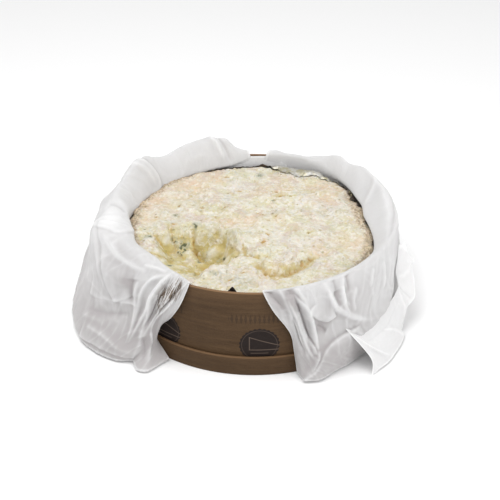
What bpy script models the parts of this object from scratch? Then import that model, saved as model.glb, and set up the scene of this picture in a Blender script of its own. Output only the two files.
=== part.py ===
"""A round of soft blue cheese in its bentwood box.

The cheese stands in a wrap of foil inside a thin wooden hoop. A strip of muslin lines the box:
its two ends come up between the foil and the hoop, pass over the rim and hang down outside, one
on the left and one on the right. The box stands on a flat disc held by a second, lower hoop.

Metres, +Z up. The origin is the middle of the disc's underside, and -Y is the front. Azimuth is
measured round +Z in degrees, 0 at the front and +90 at +X.
"""
import math

import bpy
import numpy as np

# Driving dimensions, in metres.
BOX_RADIUS = 0.150
BOX_HEIGHT = 0.098
WALL = 0.0032
FOOT_HEIGHT = 0.022
FOOT_HOOP = 0.0030
FOOT_GAP = 0.0006
DISC_THICKNESS = 0.005
CHEESE_RADIUS = 0.142
CHEESE_TOP = 0.0885
GAP = 0.0004
FOIL = 0.0004
CLOTH = 0.0012
EDGE_ROUND = 0.0006
# Two heights closer than this are the same row of points.
MATCH = 0.00001

# How finely each piece is cut.
HOOP_SIDES = 60
CHEESE_SIDES = 72
CHEESE_RINGS = 23
CLOTH_COLUMNS = 42
CLOTH_ROWS = 19

# The cheese's side, from the bottom up: share of its height, share of its radius.
CHEESE_SIDE = [(0.0, 0.968), (0.06, 0.986), (0.45, 1.0), (0.80, 0.983)]
# The outline of its top: azimuth, radius. It is pressed flat at the right, where the cloth lies on it.
EDGE_REACH = [(0, 0.1355), (60, 0.1365), (70, 0.134), (80, 0.128), (90, 0.124), (100, 0.123),
              (110, 0.126), (120, 0.131), (130, 0.136), (140, 0.1375), (255, 0.1375), (270, 0.1355),
              (360, 0.1355)]
# The shoulder, between the side and the top's edge: share of the height, share of the way out to the side.
SHOULDER = (0.955, 0.30)

# The scooped hollow: middle, depth, and the outline's reach towards each angle from +X.
SCOOP_MIDDLE = (-0.060, -0.058)
SCOOP_DEPTH = 0.024
SCOOP_REACH = [(0, 0.056), (30, 0.058), (60, 0.053), (90, 0.052), (120, 0.066), (150, 0.066),
               (185, 0.047), (225, 0.046), (265, 0.048), (300, 0.037), (330, 0.040), (360, 0.056)]
SCOOP_BACK_WALL = 0.28
SCOOP_FRONT_WALL = 0.75
# Lumps left standing in the hollow: place, radius, height.
SCOOP_LUMPS = [((-0.022, -0.040), 0.020, 0.010), ((-0.098, -0.040), 0.017, 0.008), ((-0.070, -0.085), 0.018, 0.006)]
# The torn ledge at the right: its line, width and depth, lower on the inner side.
LEDGE_LINE = [(-0.002, -0.080), (0.014, -0.103), (0.036, -0.094), (0.056, -0.078), (0.072, -0.060)]
LEDGE_WIDTH = 0.011
LEDGE_DEPTH = 0.008
# Small pits in the top: place, radius, depth.
PITS = [((-0.036, 0.036), 0.007, 0.003), ((-0.026, 0.105), 0.006, 0.003), ((0.049, -0.043), 0.012, 0.003),
        ((0.027, -0.072), 0.009, 0.003), ((0.060, 0.040), 0.008, 0.002), ((-0.085, 0.060), 0.009, 0.002)]
CRAG_HEIGHT = 0.0014
CRAG_WAVES = 14
CRAG_LENGTHS = (0.022, 0.070)
CRAG_SEED = 11

# The foil's upper edge stands above the shoulder of the cheese in teeth of uneven height.
FOIL_TEETH = 0.0045
FOIL_SEED = 5
FOIL_FOOT = 0.010
FOIL_LIFT = 0.0012
# How much further out the foil lies at the right, where the shoulder twists: azimuth, distance.
FOIL_EASE = [(0, 0), (58, 0), (67, 0.0016), (90, 0.0016), (110, 0.0006), (124, 0), (360, 0)]
# Where the teeth stand free, and where the cloth holds them down: azimuth, share of their height.
FOIL_FREE = [(0, 1), (40, 1), (55, 0), (145, 0), (156, 1), (170, 1), (178, 0), (315, 0), (328, 1), (360, 1)]
# Where the foil is folded down on to the cheese: azimuth, half width, reach.
FOIL_FLAP = (152.0, 17.0, 0.013)

# The muslin. Each guide is a smooth line along the cloth, from its front edge (share 0) to its
# back edge (share 1): rows of share, azimuth, distance out from the hoop's face, height over the rim.
LEFT_GUIDES = [
    # tucked down between foil and hoop
    [(0, -25, -0.0054, -0.030), (1, -177, -0.0054, -0.030)],
    # coming up out of the gap
    [(0, -25, -0.0054, -0.004), (0.30, -60, -0.0062, -0.008), (0.55, -92, -0.0060, -0.010),
     (1, -177, -0.0054, -0.014)],
    # the lip, which lies over the cheese's edge
    [(0, -26, -0.0020, 0.0025), (0.08, -31, -0.007, 0.003), (0.14, -38, -0.011, 0.002),
     (0.22, -50, -0.018, 0.000), (0.34, -64, -0.014, 0.000), (0.42, -78, -0.017, 0.000),
     (0.50, -94, -0.012, -0.001), (0.55, -103, -0.0085, -0.0025), (0.60, -112, -0.0110, -0.0030),
     (0.72, -130, -0.0100, -0.0030), (0.80, -143, -0.0110, -0.0030), (0.88, -157, -0.0085, -0.0030),
     (0.94, -168, -0.0055, -0.003), (1, -177, -0.0040, 0.0014)],
    # the crest, a ruff that stands up behind
    [(0, -25, 0.0015, 0.003), (0.14, -36, 0.001, 0.006), (0.22, -46, 0.000, 0.007),
     (0.34, -62, 0.001, 0.008), (0.45, -84, 0.006, 0.006), (0.52, -97, 0.007, 0.010),
     (0.58, -106, 0.006, 0.014), (0.63, -114, 0.006, 0.017), (0.67, -121, 0.006, 0.024),
     (0.70, -126, 0.006, 0.0255), (0.74, -132, 0.006, 0.018), (0.78, -138, 0.005, 0.0145),
     (0.84, -149, 0.006, 0.020), (0.90, -160, 0.007, 0.022), (0.94, -167, 0.006, 0.020),
     (0.97, -172, 0.003, 0.008), (1, -177.5, 0.0008, 0.003)],
    # the shoulder outside
    [(0, -27, 0.005, -0.014), (0.14, -38, 0.011, -0.010), (0.22, -47, 0.015, -0.008),
     (0.34, -63, 0.021, -0.006), (0.45, -84, 0.022, -0.003), (0.52, -96, 0.020, 0.000),
     (0.60, -109, 0.016, 0.004), (0.70, -126, 0.015, 0.008), (0.80, -142, 0.015, 0.004),
     (0.92, -163, 0.013, 0.004), (1, -177, 0.0035, -0.010)],
    # the belly
    [(0, -33, 0.0055, -0.043), (0.14, -40, 0.016, -0.043), (0.22, -48, 0.024, -0.043),
     (0.34, -64, 0.033, -0.043), (0.45, -82, 0.034, -0.043), (0.55, -98, 0.032, -0.043),
     (0.85, -150, 0.020, -0.032), (1, -177, 0.0045, -0.020)],
    # the shin, where the front edge swings in before it flares
    [(0, -40, 0.0060, -0.072), (0.05, -37, 0.012, -0.072), (0.10, -38, 0.024, -0.072),
     (0.16, -43, 0.030, -0.072), (0.24, -50, 0.040, -0.072), (0.36, -65, 0.050, -0.072),
     (0.50, -84, 0.046, -0.072), (0.70, -118, 0.036, -0.064), (0.85, -148, 0.026, -0.048),
     (1, -177, 0.0050, -0.028)],
    # the hem, with a lobe at its front corner
    [(0, -34, 0.0070, -0.095), (0.03, -35, 0.016, -0.0955), (0.06, -36, 0.036, -0.0955),
     (0.09, -39, 0.041, -0.0955), (0.13, -43.5, 0.033, -0.0955), (0.17, -46, 0.042, -0.0955),
     (0.24, -52, 0.051, -0.0955), (0.34, -63, 0.058, -0.0955), (0.44, -74, 0.056, -0.0955),
     (0.55, -90, 0.051, -0.095), (0.70, -115, 0.040, -0.086), (0.85, -147, 0.028, -0.062),
     (1, -177, 0.0055, -0.036)],
]
RIGHT_GUIDES = [
    [(0, 4, -0.0054, -0.030), (0.40, 57, -0.0058, -0.030), (0.62, 97, -0.0074, -0.030),
     (1, 175, -0.0054, -0.030)],
    [(0, 4, -0.0054, -0.004), (0.40, 57, -0.0060, -0.010), (0.62, 97, -0.0068, -0.014),
     (1, 175, -0.0054, -0.012)],
    # the lip, drawn in over the flattened edge of the cheese
    [(0, 3.5, -0.0025, 0.0020), (0.20, 28, -0.0035, 0.0020), (0.32, 44, -0.005, 0.001),
     (0.40, 57, -0.007, -0.001), (0.45, 66, -0.011, -0.0025), (0.50, 75, -0.0165, -0.0030),
     (0.56, 86, -0.0225, -0.0030), (0.62, 97, -0.0265, -0.0030), (0.68, 108, -0.0215, -0.0030),
     (0.73, 117, -0.0200, -0.0030), (0.79, 128, -0.0130, -0.0030), (0.84, 138, -0.0085, -0.0020),
     (0.90, 150, -0.0048, 0.000), (0.94, 160, -0.0042, 0.0014), (1, 174, -0.0040, 0.0014)],
    [(0, 3, 0.001, 0.0025), (0.20, 28, 0.001, 0.0035), (0.42, 60, 0.001, 0.0045),
     (0.50, 75, 0.002, 0.005), (0.56, 86, 0.003, 0.006), (0.62, 98, 0.003, 0.0065),
     (0.68, 108, 0.004, 0.0085), (0.73, 117, 0.004, 0.008), (0.78, 127, 0.004, 0.0115),
     (0.81, 134, 0.004, 0.0085), (0.84, 139, 0.005, 0.013), (0.88, 148, 0.004, 0.0065),
     (0.92, 157, 0.001, 0.0025), (0.955, 165, 0.001, 0.0025), (0.975, 169, 0.002, 0.0045),
     (1, 172.7, 0.002, 0.004)],
    [(0, 6, 0.005, -0.014), (0.20, 27, 0.009, -0.010), (0.32, 42, 0.011, -0.010),
     (0.42, 59, 0.009, -0.012), (0.50, 74, 0.007, -0.014), (0.56, 86, 0.006, -0.014),
     (0.62, 98, 0.007, -0.012), (0.72, 115, 0.009, -0.008), (0.80, 132, 0.010, -0.004),
     (0.88, 148, 0.008, -0.008), (1, 173.5, 0.005, -0.010)],
    # the belly, with a loose ear at the right
    [(0, 13, 0.0055, -0.045), (0.10, 18, 0.011, -0.043), (0.20, 27, 0.017, -0.043),
     (0.30, 38, 0.020, -0.043), (0.38, 48, 0.022, -0.043), (0.45, 62, 0.024, -0.041),
     (0.51, 75, 0.0265, -0.039), (0.55, 82, 0.0265, -0.039), (0.60, 92, 0.019, -0.038),
     (0.68, 106, 0.015, -0.036), (0.85, 140, 0.014, -0.032), (1, 174, 0.006, -0.022)],
    [(0, 15, 0.006, -0.072), (0.05, 16, 0.013, -0.072), (0.10, 19, 0.020, -0.072),
     (0.18, 27, 0.024, -0.072), (0.26, 37, 0.022, -0.072), (0.31, 44, 0.024, -0.072),
     (0.36, 43, 0.034, -0.072), (0.42, 52, 0.034, -0.072), (0.50, 68, 0.032, -0.072),
     (0.56, 80, 0.030, -0.072), (0.64, 95, 0.024, -0.069), (0.75, 116, 0.022, -0.062),
     (0.88, 146, 0.018, -0.044), (1, 175, 0.007, -0.030)],
    # the hem, folded back on itself to a tail at the front right
    [(0, 16, 0.0080, -0.0955), (0.04, 17, 0.021, -0.0955), (0.09, 22, 0.025, -0.0955),
     (0.15, 28, 0.021, -0.0955), (0.21, 36, 0.018, -0.0955), (0.27, 45, 0.015, -0.0955),
     (0.30, 47, 0.025, -0.095), (0.33, 42, 0.039, -0.0955), (0.36, 37, 0.046, -0.0955),
     (0.40, 43, 0.043, -0.095), (0.45, 52, 0.037, -0.095), (0.50, 62, 0.035, -0.095),
     (0.56, 78, 0.031, -0.094), (0.64, 94, 0.028, -0.088), (0.75, 114, 0.026, -0.078),
     (0.88, 146, 0.020, -0.054), (1, 175, 0.008, -0.038)],
]
# The broad folds: height, half width, and the line they follow as (share along, share down).
LEFT_FOLDS = [
    (0.0045, 0.026, [(0.47, 0.48), (0.36, 0.51), (0.27, 0.68)]),
    (0.0040, 0.013, [(0.34, 0.76), (0.26, 0.69), (0.20, 0.65)]),
    (-0.0040, 0.012, [(0.35, 0.82), (0.26, 0.77), (0.21, 0.72)]),
    (-0.0040, 0.012, [(0.23, 0.50), (0.21, 0.66)]),
    (0.0045, 0.011, [(0.11, 0.38), (0.14, 0.52), (0.15, 0.74), (0.14, 0.90)]),
    (0.0040, 0.013, [(0.55, 0.45), (0.58, 0.95)]),
    (0.0040, 0.014, [(0.72, 0.50), (0.76, 1.0)]),
]
RIGHT_FOLDS = [
    (0.0040, 0.011, [(0.06, 0.41), (0.06, 0.62), (0.10, 0.86)]),
    (-0.0040, 0.011, [(0.09, 0.42), (0.11, 0.60), (0.12, 0.82)]),
    (0.0045, 0.011, [(0.12, 0.43), (0.15, 0.62), (0.15, 0.78)]),
    (0.0050, 0.014, [(0.20, 0.43), (0.23, 0.56), (0.35, 0.71)]),
    (-0.0060, 0.014, [(0.42, 0.60), (0.39, 0.69), (0.29, 0.78)]),
    (0.0045, 0.013, [(0.46, 0.62), (0.43, 0.72), (0.37, 0.80)]),
    (0.0040, 0.014, [(0.62, 0.48), (0.64, 1.0)]),
    (0.0040, 0.014, [(0.80, 0.50), (0.82, 1.0)]),
]
# The flat size of the part of each cloth end that is modelled, used to measure along the folds.
CLOTH_WIDTH = 0.46
CLOTH_DROP = 0.20

# Colours seen in daylight: red, green, blue, roughness.
CHEESE_COLOUR = (0.86, 0.80, 0.62, 0.55)
WOOD_COLOUR = (0.20, 0.13, 0.075, 0.65)
CLOTH_COLOUR = (0.83, 0.83, 0.82, 0.85)
FOIL_COLOUR = (0.35, 0.33, 0.30, 0.35)


def clear_scene():
    for obj in list(bpy.data.objects):
        bpy.data.objects.remove(obj)


def make_material(name, colour, metallic=0.0):
    material = bpy.data.materials.new(name)
    material.use_nodes = True
    shader = material.node_tree.nodes["Principled BSDF"]
    shader.inputs["Base Color"].default_value = (*colour[:3], 1.0)
    shader.inputs["Roughness"].default_value = colour[3]
    shader.inputs["Metallic"].default_value = metallic
    return material


def add_object(name, mesh, material, collection):
    obj = bpy.data.objects.new(name, mesh)
    mesh.materials.append(material)
    collection.objects.link(obj)
    return obj


def mesh_from_grid(name, points):
    """An open sheet of quads through a grid of points, rows by columns."""
    rows, columns = points.shape[:2]
    first = (np.arange(rows - 1)[:, None] * columns + np.arange(columns - 1)).ravel()
    quads = np.stack([first, first + 1, first + columns + 1, first + columns], 1)
    mesh = bpy.data.meshes.new(name)
    mesh.from_pydata(points.reshape(-1, 3).tolist(), [], quads.tolist())
    return mesh


def turned(name, profile, sides, material, collection):
    """A profile of (radius, height) points turned round Z by a Screw modifier."""
    mesh = bpy.data.meshes.new(name)
    verts = [(radius, 0.0, height) for radius, height in profile]
    count = len(verts)
    on_axis = profile[0][0] == 0.0
    edges = [(i, (i + 1) % count) for i in range(count - 1 if on_axis else count)]
    mesh.from_pydata(verts, edges, [])
    obj = add_object(name, mesh, material, collection)
    screw = obj.modifiers.new("turn", "SCREW")
    screw.steps = sides
    screw.render_steps = sides
    screw.use_merge_vertices = True
    screw.merge_threshold = 0.00005
    screw.use_smooth_shade = False
    return obj


def smoothstep(low, high, value):
    share = np.clip((value - low) / (high - low), 0.0, 1.0)
    return share * share * (3 - 2 * share)


def smooth_guide(share, guide):
    """Each column of a guide as a smooth function of share, with no overshoot between its rows."""
    rows = np.array(guide, float)
    knots = rows[:, 0]
    span = np.diff(knots)
    index = np.clip(np.searchsorted(knots, share, side="right") - 1, 0, len(knots) - 2)
    u = (share - knots[index]) / span[index]
    columns = []
    for value in rows[:, 1:].T:
        rise = np.diff(value) / span
        slope = np.concatenate([rise[:1], np.zeros(len(value) - 2), rise[-1:]])
        same_way = np.where(rise[:-1] * rise[1:] > 0)[0]
        before, after = rise[same_way], rise[same_way + 1]
        slope[same_way + 1] = 2 * before * after / (before + after)
        columns.append((2 * u**3 - 3 * u**2 + 1) * value[index]
                       + (u**3 - 2 * u**2 + u) * span[index] * slope[index]
                       + (3 * u**2 - 2 * u**3) * value[index + 1]
                       + (u**3 - u**2) * span[index] * slope[index + 1])
    return columns


def from_azimuth(azimuth, radius, height):
    angle = np.radians(azimuth)
    return np.stack([radius * np.sin(angle), -radius * np.cos(angle), height + 0 * angle], -1)


def distance_to_line(x, y, line):
    """Distance from each point to a line of straight runs, and the share along it."""
    nearest = np.full(x.shape, np.inf)
    along = np.zeros(x.shape)
    runs = len(line) - 1
    for number, ((ax, ay), (bx, by)) in enumerate(zip(line[:-1], line[1:])):
        dx, dy = bx - ax, by - ay
        t = np.clip(((x - ax) * dx + (y - ay) * dy) / (dx * dx + dy * dy), 0.0, 1.0)
        distance = np.hypot(x - ax - t * dx, y - ay - t * dy)
        closer = distance < nearest
        along = np.where(closer, (number + t) / runs, along)
        nearest = np.minimum(nearest, distance)
    return nearest, along


# The cheese.

def crags(x, y):
    """Gentle uneven relief: a few sine waves in seeded directions."""
    draw = np.random.default_rng(CRAG_SEED)
    total = np.zeros(x.shape)
    for _ in range(CRAG_WAVES):
        length = draw.uniform(*CRAG_LENGTHS)
        angle, phase = draw.uniform(0, 2 * math.pi, 2)
        total += np.sin(2 * math.pi / length * (x * math.cos(angle) + y * math.sin(angle)) + phase)
    return CRAG_HEIGHT * total / math.sqrt(CRAG_WAVES)


def dimple(x, y, place, radius, depth):
    return depth * np.exp(-((x - place[0])**2 + (y - place[1])**2) / (0.5 * radius * radius))


def scoop(x, y):
    """The depth of the scooped hollow: steep at the back, opening gently to the front left."""
    dx, dy = x - SCOOP_MIDDLE[0], y - SCOOP_MIDDLE[1]
    angle = np.degrees(np.arctan2(dy, dx)) % 360
    reach, = smooth_guide(angle, SCOOP_REACH)
    back = 0.5 + 0.5 * np.cos(np.radians(angle - 70))
    wall = SCOOP_FRONT_WALL + (SCOOP_BACK_WALL - SCOOP_FRONT_WALL) * back
    depth = SCOOP_DEPTH * (1 - smoothstep(1 - wall, 1.0, np.hypot(dx, dy) / reach))
    for place, radius, height in SCOOP_LUMPS:
        depth = depth - np.minimum(depth, dimple(x, y, place, radius, height))
    return depth


def ledge(x, y):
    """The torn ledge: a trough along its line, fading at both ends."""
    distance, along = distance_to_line(x, y, LEDGE_LINE)
    return LEDGE_DEPTH * np.exp(-(distance / LEDGE_WIDTH)**2 * 2) * np.sin(math.pi * np.clip(along, 0.06, 0.94))


def edge_reach(x, y):
    """The radius of the top's outline in the direction of each point."""
    reach, = smooth_guide(np.degrees(np.arctan2(x, -y)) % 360, EDGE_REACH)
    return reach


def shoulder_reach(x, y):
    """The radius of the shoulder in the direction of each point."""
    edge = edge_reach(x, y)
    return edge + SHOULDER[1] * (CHEESE_RADIUS * CHEESE_SIDE[-1][1] - edge)


def top_height(x, y):
    """The height of the cheese's top, its relief calmer towards the edge."""
    relief = crags(x, y) - scoop(x, y) - ledge(x, y)
    for place, radius, depth in PITS:
        relief = relief - dimple(x, y, place, radius, depth)
    calm = 1 - 0.75 * smoothstep(0.9, 1.0, np.hypot(x, y) / edge_reach(x, y))
    return CHEESE_TOP + relief * calm


def cheese_side():
    """The side of the cheese as (radius, height), bottom to top."""
    bottom = DISC_THICKNESS + GAP
    height = CHEESE_TOP - bottom
    return [(CHEESE_RADIUS * share, bottom + height * up) for up, share in CHEESE_SIDE]


def make_cheese(material, collection):
    """Turned from a profile, then its top and shoulder are moved to their outline, relief and hollow."""
    side = cheese_side()
    shoulder_height = side[0][1] + SHOULDER[0] * (CHEESE_TOP - side[0][1])
    top = [(CHEESE_RADIUS * i / CHEESE_RINGS, CHEESE_TOP) for i in range(CHEESE_RINGS + 1)]
    rings = [(0.4 * side[0][0], side[0][1]), (0.0, side[0][1])]
    profile = top + [(CHEESE_RADIUS, shoulder_height)] + side[::-1] + rings
    source = turned("cheese_profile", profile, CHEESE_SIDES, material, collection)
    graph = bpy.context.evaluated_depsgraph_get()
    mesh = bpy.data.meshes.new_from_object(source.evaluated_get(graph))
    bpy.data.objects.remove(source)
    points = np.empty(len(mesh.vertices) * 3, np.float32)
    mesh.vertices.foreach_get("co", points)
    points = points.reshape(-1, 3).astype(float)
    x, y, height = points.T
    on_top = height > CHEESE_TOP - MATCH
    at_shoulder = np.abs(height - shoulder_height) < MATCH
    share = np.hypot(x, y) / CHEESE_RADIUS
    top_scale = 1 + (edge_reach(x, y) / CHEESE_RADIUS - 1) * share
    scale = np.where(on_top, top_scale, np.where(at_shoulder, shoulder_reach(x, y) / CHEESE_RADIUS, 1.0))
    points[:, 0], points[:, 1] = x * scale, y * scale
    points[:, 2] = np.where(on_top, top_height(points[:, 0], points[:, 1]), height)
    mesh.vertices.foreach_set("co", points.astype(np.float32).ravel())
    mesh.name = "cheese"
    obj = bpy.data.objects.new("cheese", mesh)
    collection.objects.link(obj)
    return obj


# The foil.

def make_foil(material, collection):
    """A thin band round the cheese with an uneven upper edge, folded down on to it at the back."""
    side = [row for row in cheese_side() if row[1] > DISC_THICKNESS + FOIL_FOOT]
    draw = np.random.default_rng(FOIL_SEED)
    columns = CHEESE_SIDES
    azimuth = np.arange(columns) * 360.0 / columns
    free, = smooth_guide(azimuth, FOIL_FREE)
    teeth = FOIL_TEETH * draw.uniform(0.1, 1.0, columns) * free
    turned_in = np.exp(-((azimuth - FOIL_FLAP[0]) / FOIL_FLAP[1])**2)
    rows = [from_azimuth(azimuth, radius + GAP, height) for radius, height in side]
    outward = from_azimuth(azimuth, 1.0, 0.0)
    bottom = cheese_side()[0][1]
    ease, = smooth_guide(azimuth, FOIL_EASE)
    clear = GAP + ease
    shoulder = shoulder_reach(outward[:, 0], outward[:, 1]) + clear
    rows.append(from_azimuth(azimuth, shoulder, bottom + SHOULDER[0] * (CHEESE_TOP - bottom)))
    edge = edge_reach(outward[:, 0], outward[:, 1]) + clear
    for reach, rise in ((0.0, 0.0), (0.4, 0.5), (1.0, 1.0)):
        row = from_azimuth(azimuth, edge + GAP * reach - reach * FOIL_FLAP[2] * turned_in, 0.0)
        over = top_height(row[:, 0], row[:, 1]) + FOIL_LIFT * (reach > 0)
        row[:, 2] = np.maximum(over, CHEESE_TOP) + rise * teeth
        rows.append(row)
    points = np.stack(rows)
    points = np.concatenate([points, points[:, :1]], 1)
    mesh = mesh_from_grid("foil_wrap", points)
    obj = add_object("foil_wrap", mesh, material, collection)
    weld = obj.modifiers.new("close", "WELD")
    weld.merge_threshold = 0.00005
    skin = obj.modifiers.new("thickness", "SOLIDIFY")
    skin.thickness = FOIL
    skin.offset = 1.0
    return obj


# The muslin.

def spline_down(lines, rows):
    """Smooth curves down the cloth through its guide lines, spaced by their mean distance."""
    chord = np.linalg.norm(np.diff(lines, axis=0), axis=2).mean(1)
    knots = np.concatenate([[0.0], np.cumsum(chord)]) / chord.sum()
    span = np.diff(knots)
    rise = np.diff(lines, axis=0) / span[:, None, None]
    share = (span[:-1] / (span[:-1] + span[1:]))[:, None, None]
    slope = np.concatenate([rise[:1], rise[:-1] * (1 - share) + rise[1:] * share, rise[-1:]])
    down = np.linspace(0.0, 1.0, rows)
    index = np.clip(np.searchsorted(knots, down, side="right") - 1, 0, len(knots) - 2)
    length = span[index][:, None, None]
    u = ((down - knots[index]) / span[index])[:, None, None]
    return ((2 * u**3 - 3 * u**2 + 1) * lines[index] + (u**3 - 2 * u**2 + u) * length * slope[index]
            + (3 * u**2 - 2 * u**3) * lines[index + 1] + (u**3 - u**2) * length * slope[index + 1])


def surface_normals(points):
    across, down = np.gradient(points, axis=1), np.gradient(points, axis=0)
    normal = np.cross(across, down)
    return normal / np.linalg.norm(normal, axis=2, keepdims=True)


def folded(points, folds, outward):
    """Raises the folds: tents along their lines, with ends that fade."""
    rows, columns = points.shape[:2]
    across, down = np.meshgrid(np.linspace(0, 1, columns), np.linspace(0, 1, rows))
    lift = np.zeros((rows, columns))
    for height, width, line in folds:
        measured = [(a * CLOTH_WIDTH, d * CLOTH_DROP) for a, d in line]
        distance, along = distance_to_line(across * CLOTH_WIDTH, down * CLOTH_DROP, measured)
        ends = smoothstep(-0.02, 0.15, along) * (1 - smoothstep(0.85, 1.02, along))
        lift += height * np.clip(1 - distance / width, 0, 1) * (0.25 + 0.75 * ends)
    return points + surface_normals(points) * (outward * lift)[..., None]


def keep_clear(points):
    """Holds the sheet off the hoops: inside the wall until it is over the rim, then outside."""
    radius = np.hypot(points[..., 0], points[..., 1])
    height = np.maximum(points[..., 2], CLOTH)
    down = np.linspace(0, 1, points.shape[0])[:, None]
    outside = down > 0.36
    least = BOX_RADIUS + GAP + (FOOT_GAP + FOOT_HOOP + GAP) * (height < FOOT_HEIGHT + 0.006)
    held = np.where(outside & (height < BOX_HEIGHT + 0.002), np.maximum(radius, least), radius)
    scale = held / radius
    return np.stack([points[..., 0] * scale, points[..., 1] * scale, height], -1)


def make_cloth(name, guides, folds, outward, material, collection):
    """One end of the muslin strip: a sheet through its guides, folded, then given thickness."""
    share = np.linspace(0.0, 1.0, CLOTH_COLUMNS)
    lines = []
    for guide in guides:
        azimuth, out, up = smooth_guide(share, guide)
        lines.append(from_azimuth(azimuth, BOX_RADIUS + out, BOX_HEIGHT + up))
    points = spline_down(np.stack(lines), CLOTH_ROWS)
    points = keep_clear(folded(points, folds, outward))
    if outward < 0:
        points = points[:, ::-1]
    obj = add_object(name, mesh_from_grid(name, points), material, collection)
    skin = obj.modifiers.new("thickness", "SOLIDIFY")
    skin.thickness = CLOTH
    skin.offset = 1.0
    return obj


# The wood.

def hoop_profile(inner, outer, bottom, top):
    """A hoop's section, its upper edges eased, from the top down its outer side."""
    ease = EDGE_ROUND
    return [(inner + ease, top), (outer - ease, top), (outer, top - ease), (outer, bottom),
            (inner, bottom), (inner, top - ease)]


def make_box(material, collection):
    disc_radius = BOX_RADIUS + FOOT_GAP - GAP / 2
    turned("box_wall", hoop_profile(BOX_RADIUS - WALL, BOX_RADIUS, DISC_THICKNESS + GAP, BOX_HEIGHT),
           HOOP_SIDES, material, collection)
    foot_inner = BOX_RADIUS + FOOT_GAP
    turned("foot_hoop", hoop_profile(foot_inner, foot_inner + FOOT_HOOP, 0.0, FOOT_HEIGHT),
           HOOP_SIDES, material, collection)
    turned("base_disc", [(0.0, DISC_THICKNESS), (disc_radius, DISC_THICKNESS), (disc_radius, 0.0), (0.0, 0.0)],
           HOOP_SIDES, material, collection)


def main():
    clear_scene()
    collection = bpy.data.collections.new("boxed_blue_cheese")
    bpy.context.scene.collection.children.link(collection)
    wood = make_material("wood", WOOD_COLOUR)
    cheese = make_material("cheese", CHEESE_COLOUR)
    foil = make_material("foil", FOIL_COLOUR, 0.8)
    cloth = make_material("muslin", CLOTH_COLOUR)
    make_box(wood, collection)
    make_cheese(cheese, collection)
    make_foil(foil, collection)
    make_cloth("cloth_left", LEFT_GUIDES, LEFT_FOLDS, 1.0, cloth, collection)
    make_cloth("cloth_right", RIGHT_GUIDES, RIGHT_FOLDS, -1.0, cloth, collection)


main()
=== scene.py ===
"""The looks of a boxed round of soft blue cheese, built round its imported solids.

Metres, +Z up, -Y the front. Azimuth is measured round +Z in degrees, 0 at the front and +90 at +X.
Tables of places are in millimetres and degrees, with shares of a sheet in per cent.
Every new piece is a surface worked out as whole numpy arrays; its function says by what formula.
"""
import math

import bpy
import numpy as np
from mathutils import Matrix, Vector


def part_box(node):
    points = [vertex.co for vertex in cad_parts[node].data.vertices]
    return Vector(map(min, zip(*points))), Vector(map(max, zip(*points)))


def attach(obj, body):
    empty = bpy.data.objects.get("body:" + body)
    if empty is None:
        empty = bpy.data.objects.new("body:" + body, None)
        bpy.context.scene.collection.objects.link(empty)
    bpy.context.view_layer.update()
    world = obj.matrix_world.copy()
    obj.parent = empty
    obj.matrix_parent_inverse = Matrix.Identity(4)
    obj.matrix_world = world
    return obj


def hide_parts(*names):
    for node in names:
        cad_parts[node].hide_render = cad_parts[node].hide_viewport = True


MM = 0.001


def in_metres(table):
    """The same nested table, with every number taken from millimetres to metres."""
    if isinstance(table, (list, tuple)):
        return [in_metres(value) for value in table]
    return MM * table


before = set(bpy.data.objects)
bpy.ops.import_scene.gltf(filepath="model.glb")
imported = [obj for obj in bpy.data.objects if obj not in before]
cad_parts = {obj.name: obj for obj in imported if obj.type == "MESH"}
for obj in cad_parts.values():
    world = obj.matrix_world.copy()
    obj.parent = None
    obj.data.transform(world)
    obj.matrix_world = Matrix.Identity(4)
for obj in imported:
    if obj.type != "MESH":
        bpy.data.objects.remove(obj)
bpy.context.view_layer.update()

# Sizes read from the frame.
BOX_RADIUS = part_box("box_wall")[1].x
BOX_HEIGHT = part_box("box_wall")[1].z
DISC_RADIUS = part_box("base_disc")[1].x
DISC_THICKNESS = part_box("base_disc")[1].z
FOOT_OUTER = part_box("foot_hoop")[1].x
FOOT_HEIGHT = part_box("foot_hoop")[1].z
CHEESE_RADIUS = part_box("cheese")[1].x
CHEESE_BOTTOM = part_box("cheese")[0].z

# The construction's own sizes, in metres.
WALL = 0.0032
FOOT_HOOP = 0.0030
CHEESE_TOP = 0.0885
GAP = 0.0004
HOOP_EASE = 0.0007
DISC_EASE = 0.0008
MERGE_DISTANCE = 0.00001
# How far under a hoop's top its paler cut edge begins, and where it is full.
CUT_EDGE = (0.0009, 0.0002)
FOIL_THICKNESS = 0.00012
CLOTH_THICKNESS = 0.0004
CLOTH_WIDTH = 0.46
CLOTH_DROP = 0.20
# What is left of that rectangle, in square metres, where its corners are cut away.
FLAP_WIDTH = 0.13
FLAP_DROP = 0.055
LINING_WIDTH = 0.071
LINING_DROP = 0.030

# The camera, at the photograph's angle, and the stage.
CAMERA_TARGET = (-0.0044, 0.0, 0.0546)
CAMERA_DISTANCE = 1.2
CAMERA_ELEVATION = 32.1
CAMERA_LENS = 77.6
CAMERA_SENSOR = 36.0
CAMERA_REACH = 20.0
LIGHT_SIZE = 0.9
LIGHT_TARGET = (0.0, 0.0, 0.05)
KEY_PLACE, KEY_POWER = (-0.35, -0.35, 1.4), 12.0
FILL_PLACE, FILL_POWER = (1.0, -0.9, 0.75), 7.0
WORLD_STRENGTH = 0.78
FLOOR_HALF = 15.0
FLOOR_GREY = (0.90, 0.90, 0.90)

# How finely the pieces are cut.
CHEESE_GRID = 301
CHEESE_SIDE_ROWS = (0.985, 0.965, 0.94, 0.87, 0.80, 0.40, 0.0)
HOOP_COLUMNS = 300
HOOP_ARC = 5
HOOP_WALL_ROWS = 4
DISC_ARC = 4
FOIL_COLUMNS = 720
FOIL_ROWS = 52
FOIL_LOW_ROWS = 14
CLOTH_GRID = (309, 159)
FLAP_GRID = (201, 81)
LINING_GRID = (61, 31)

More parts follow.
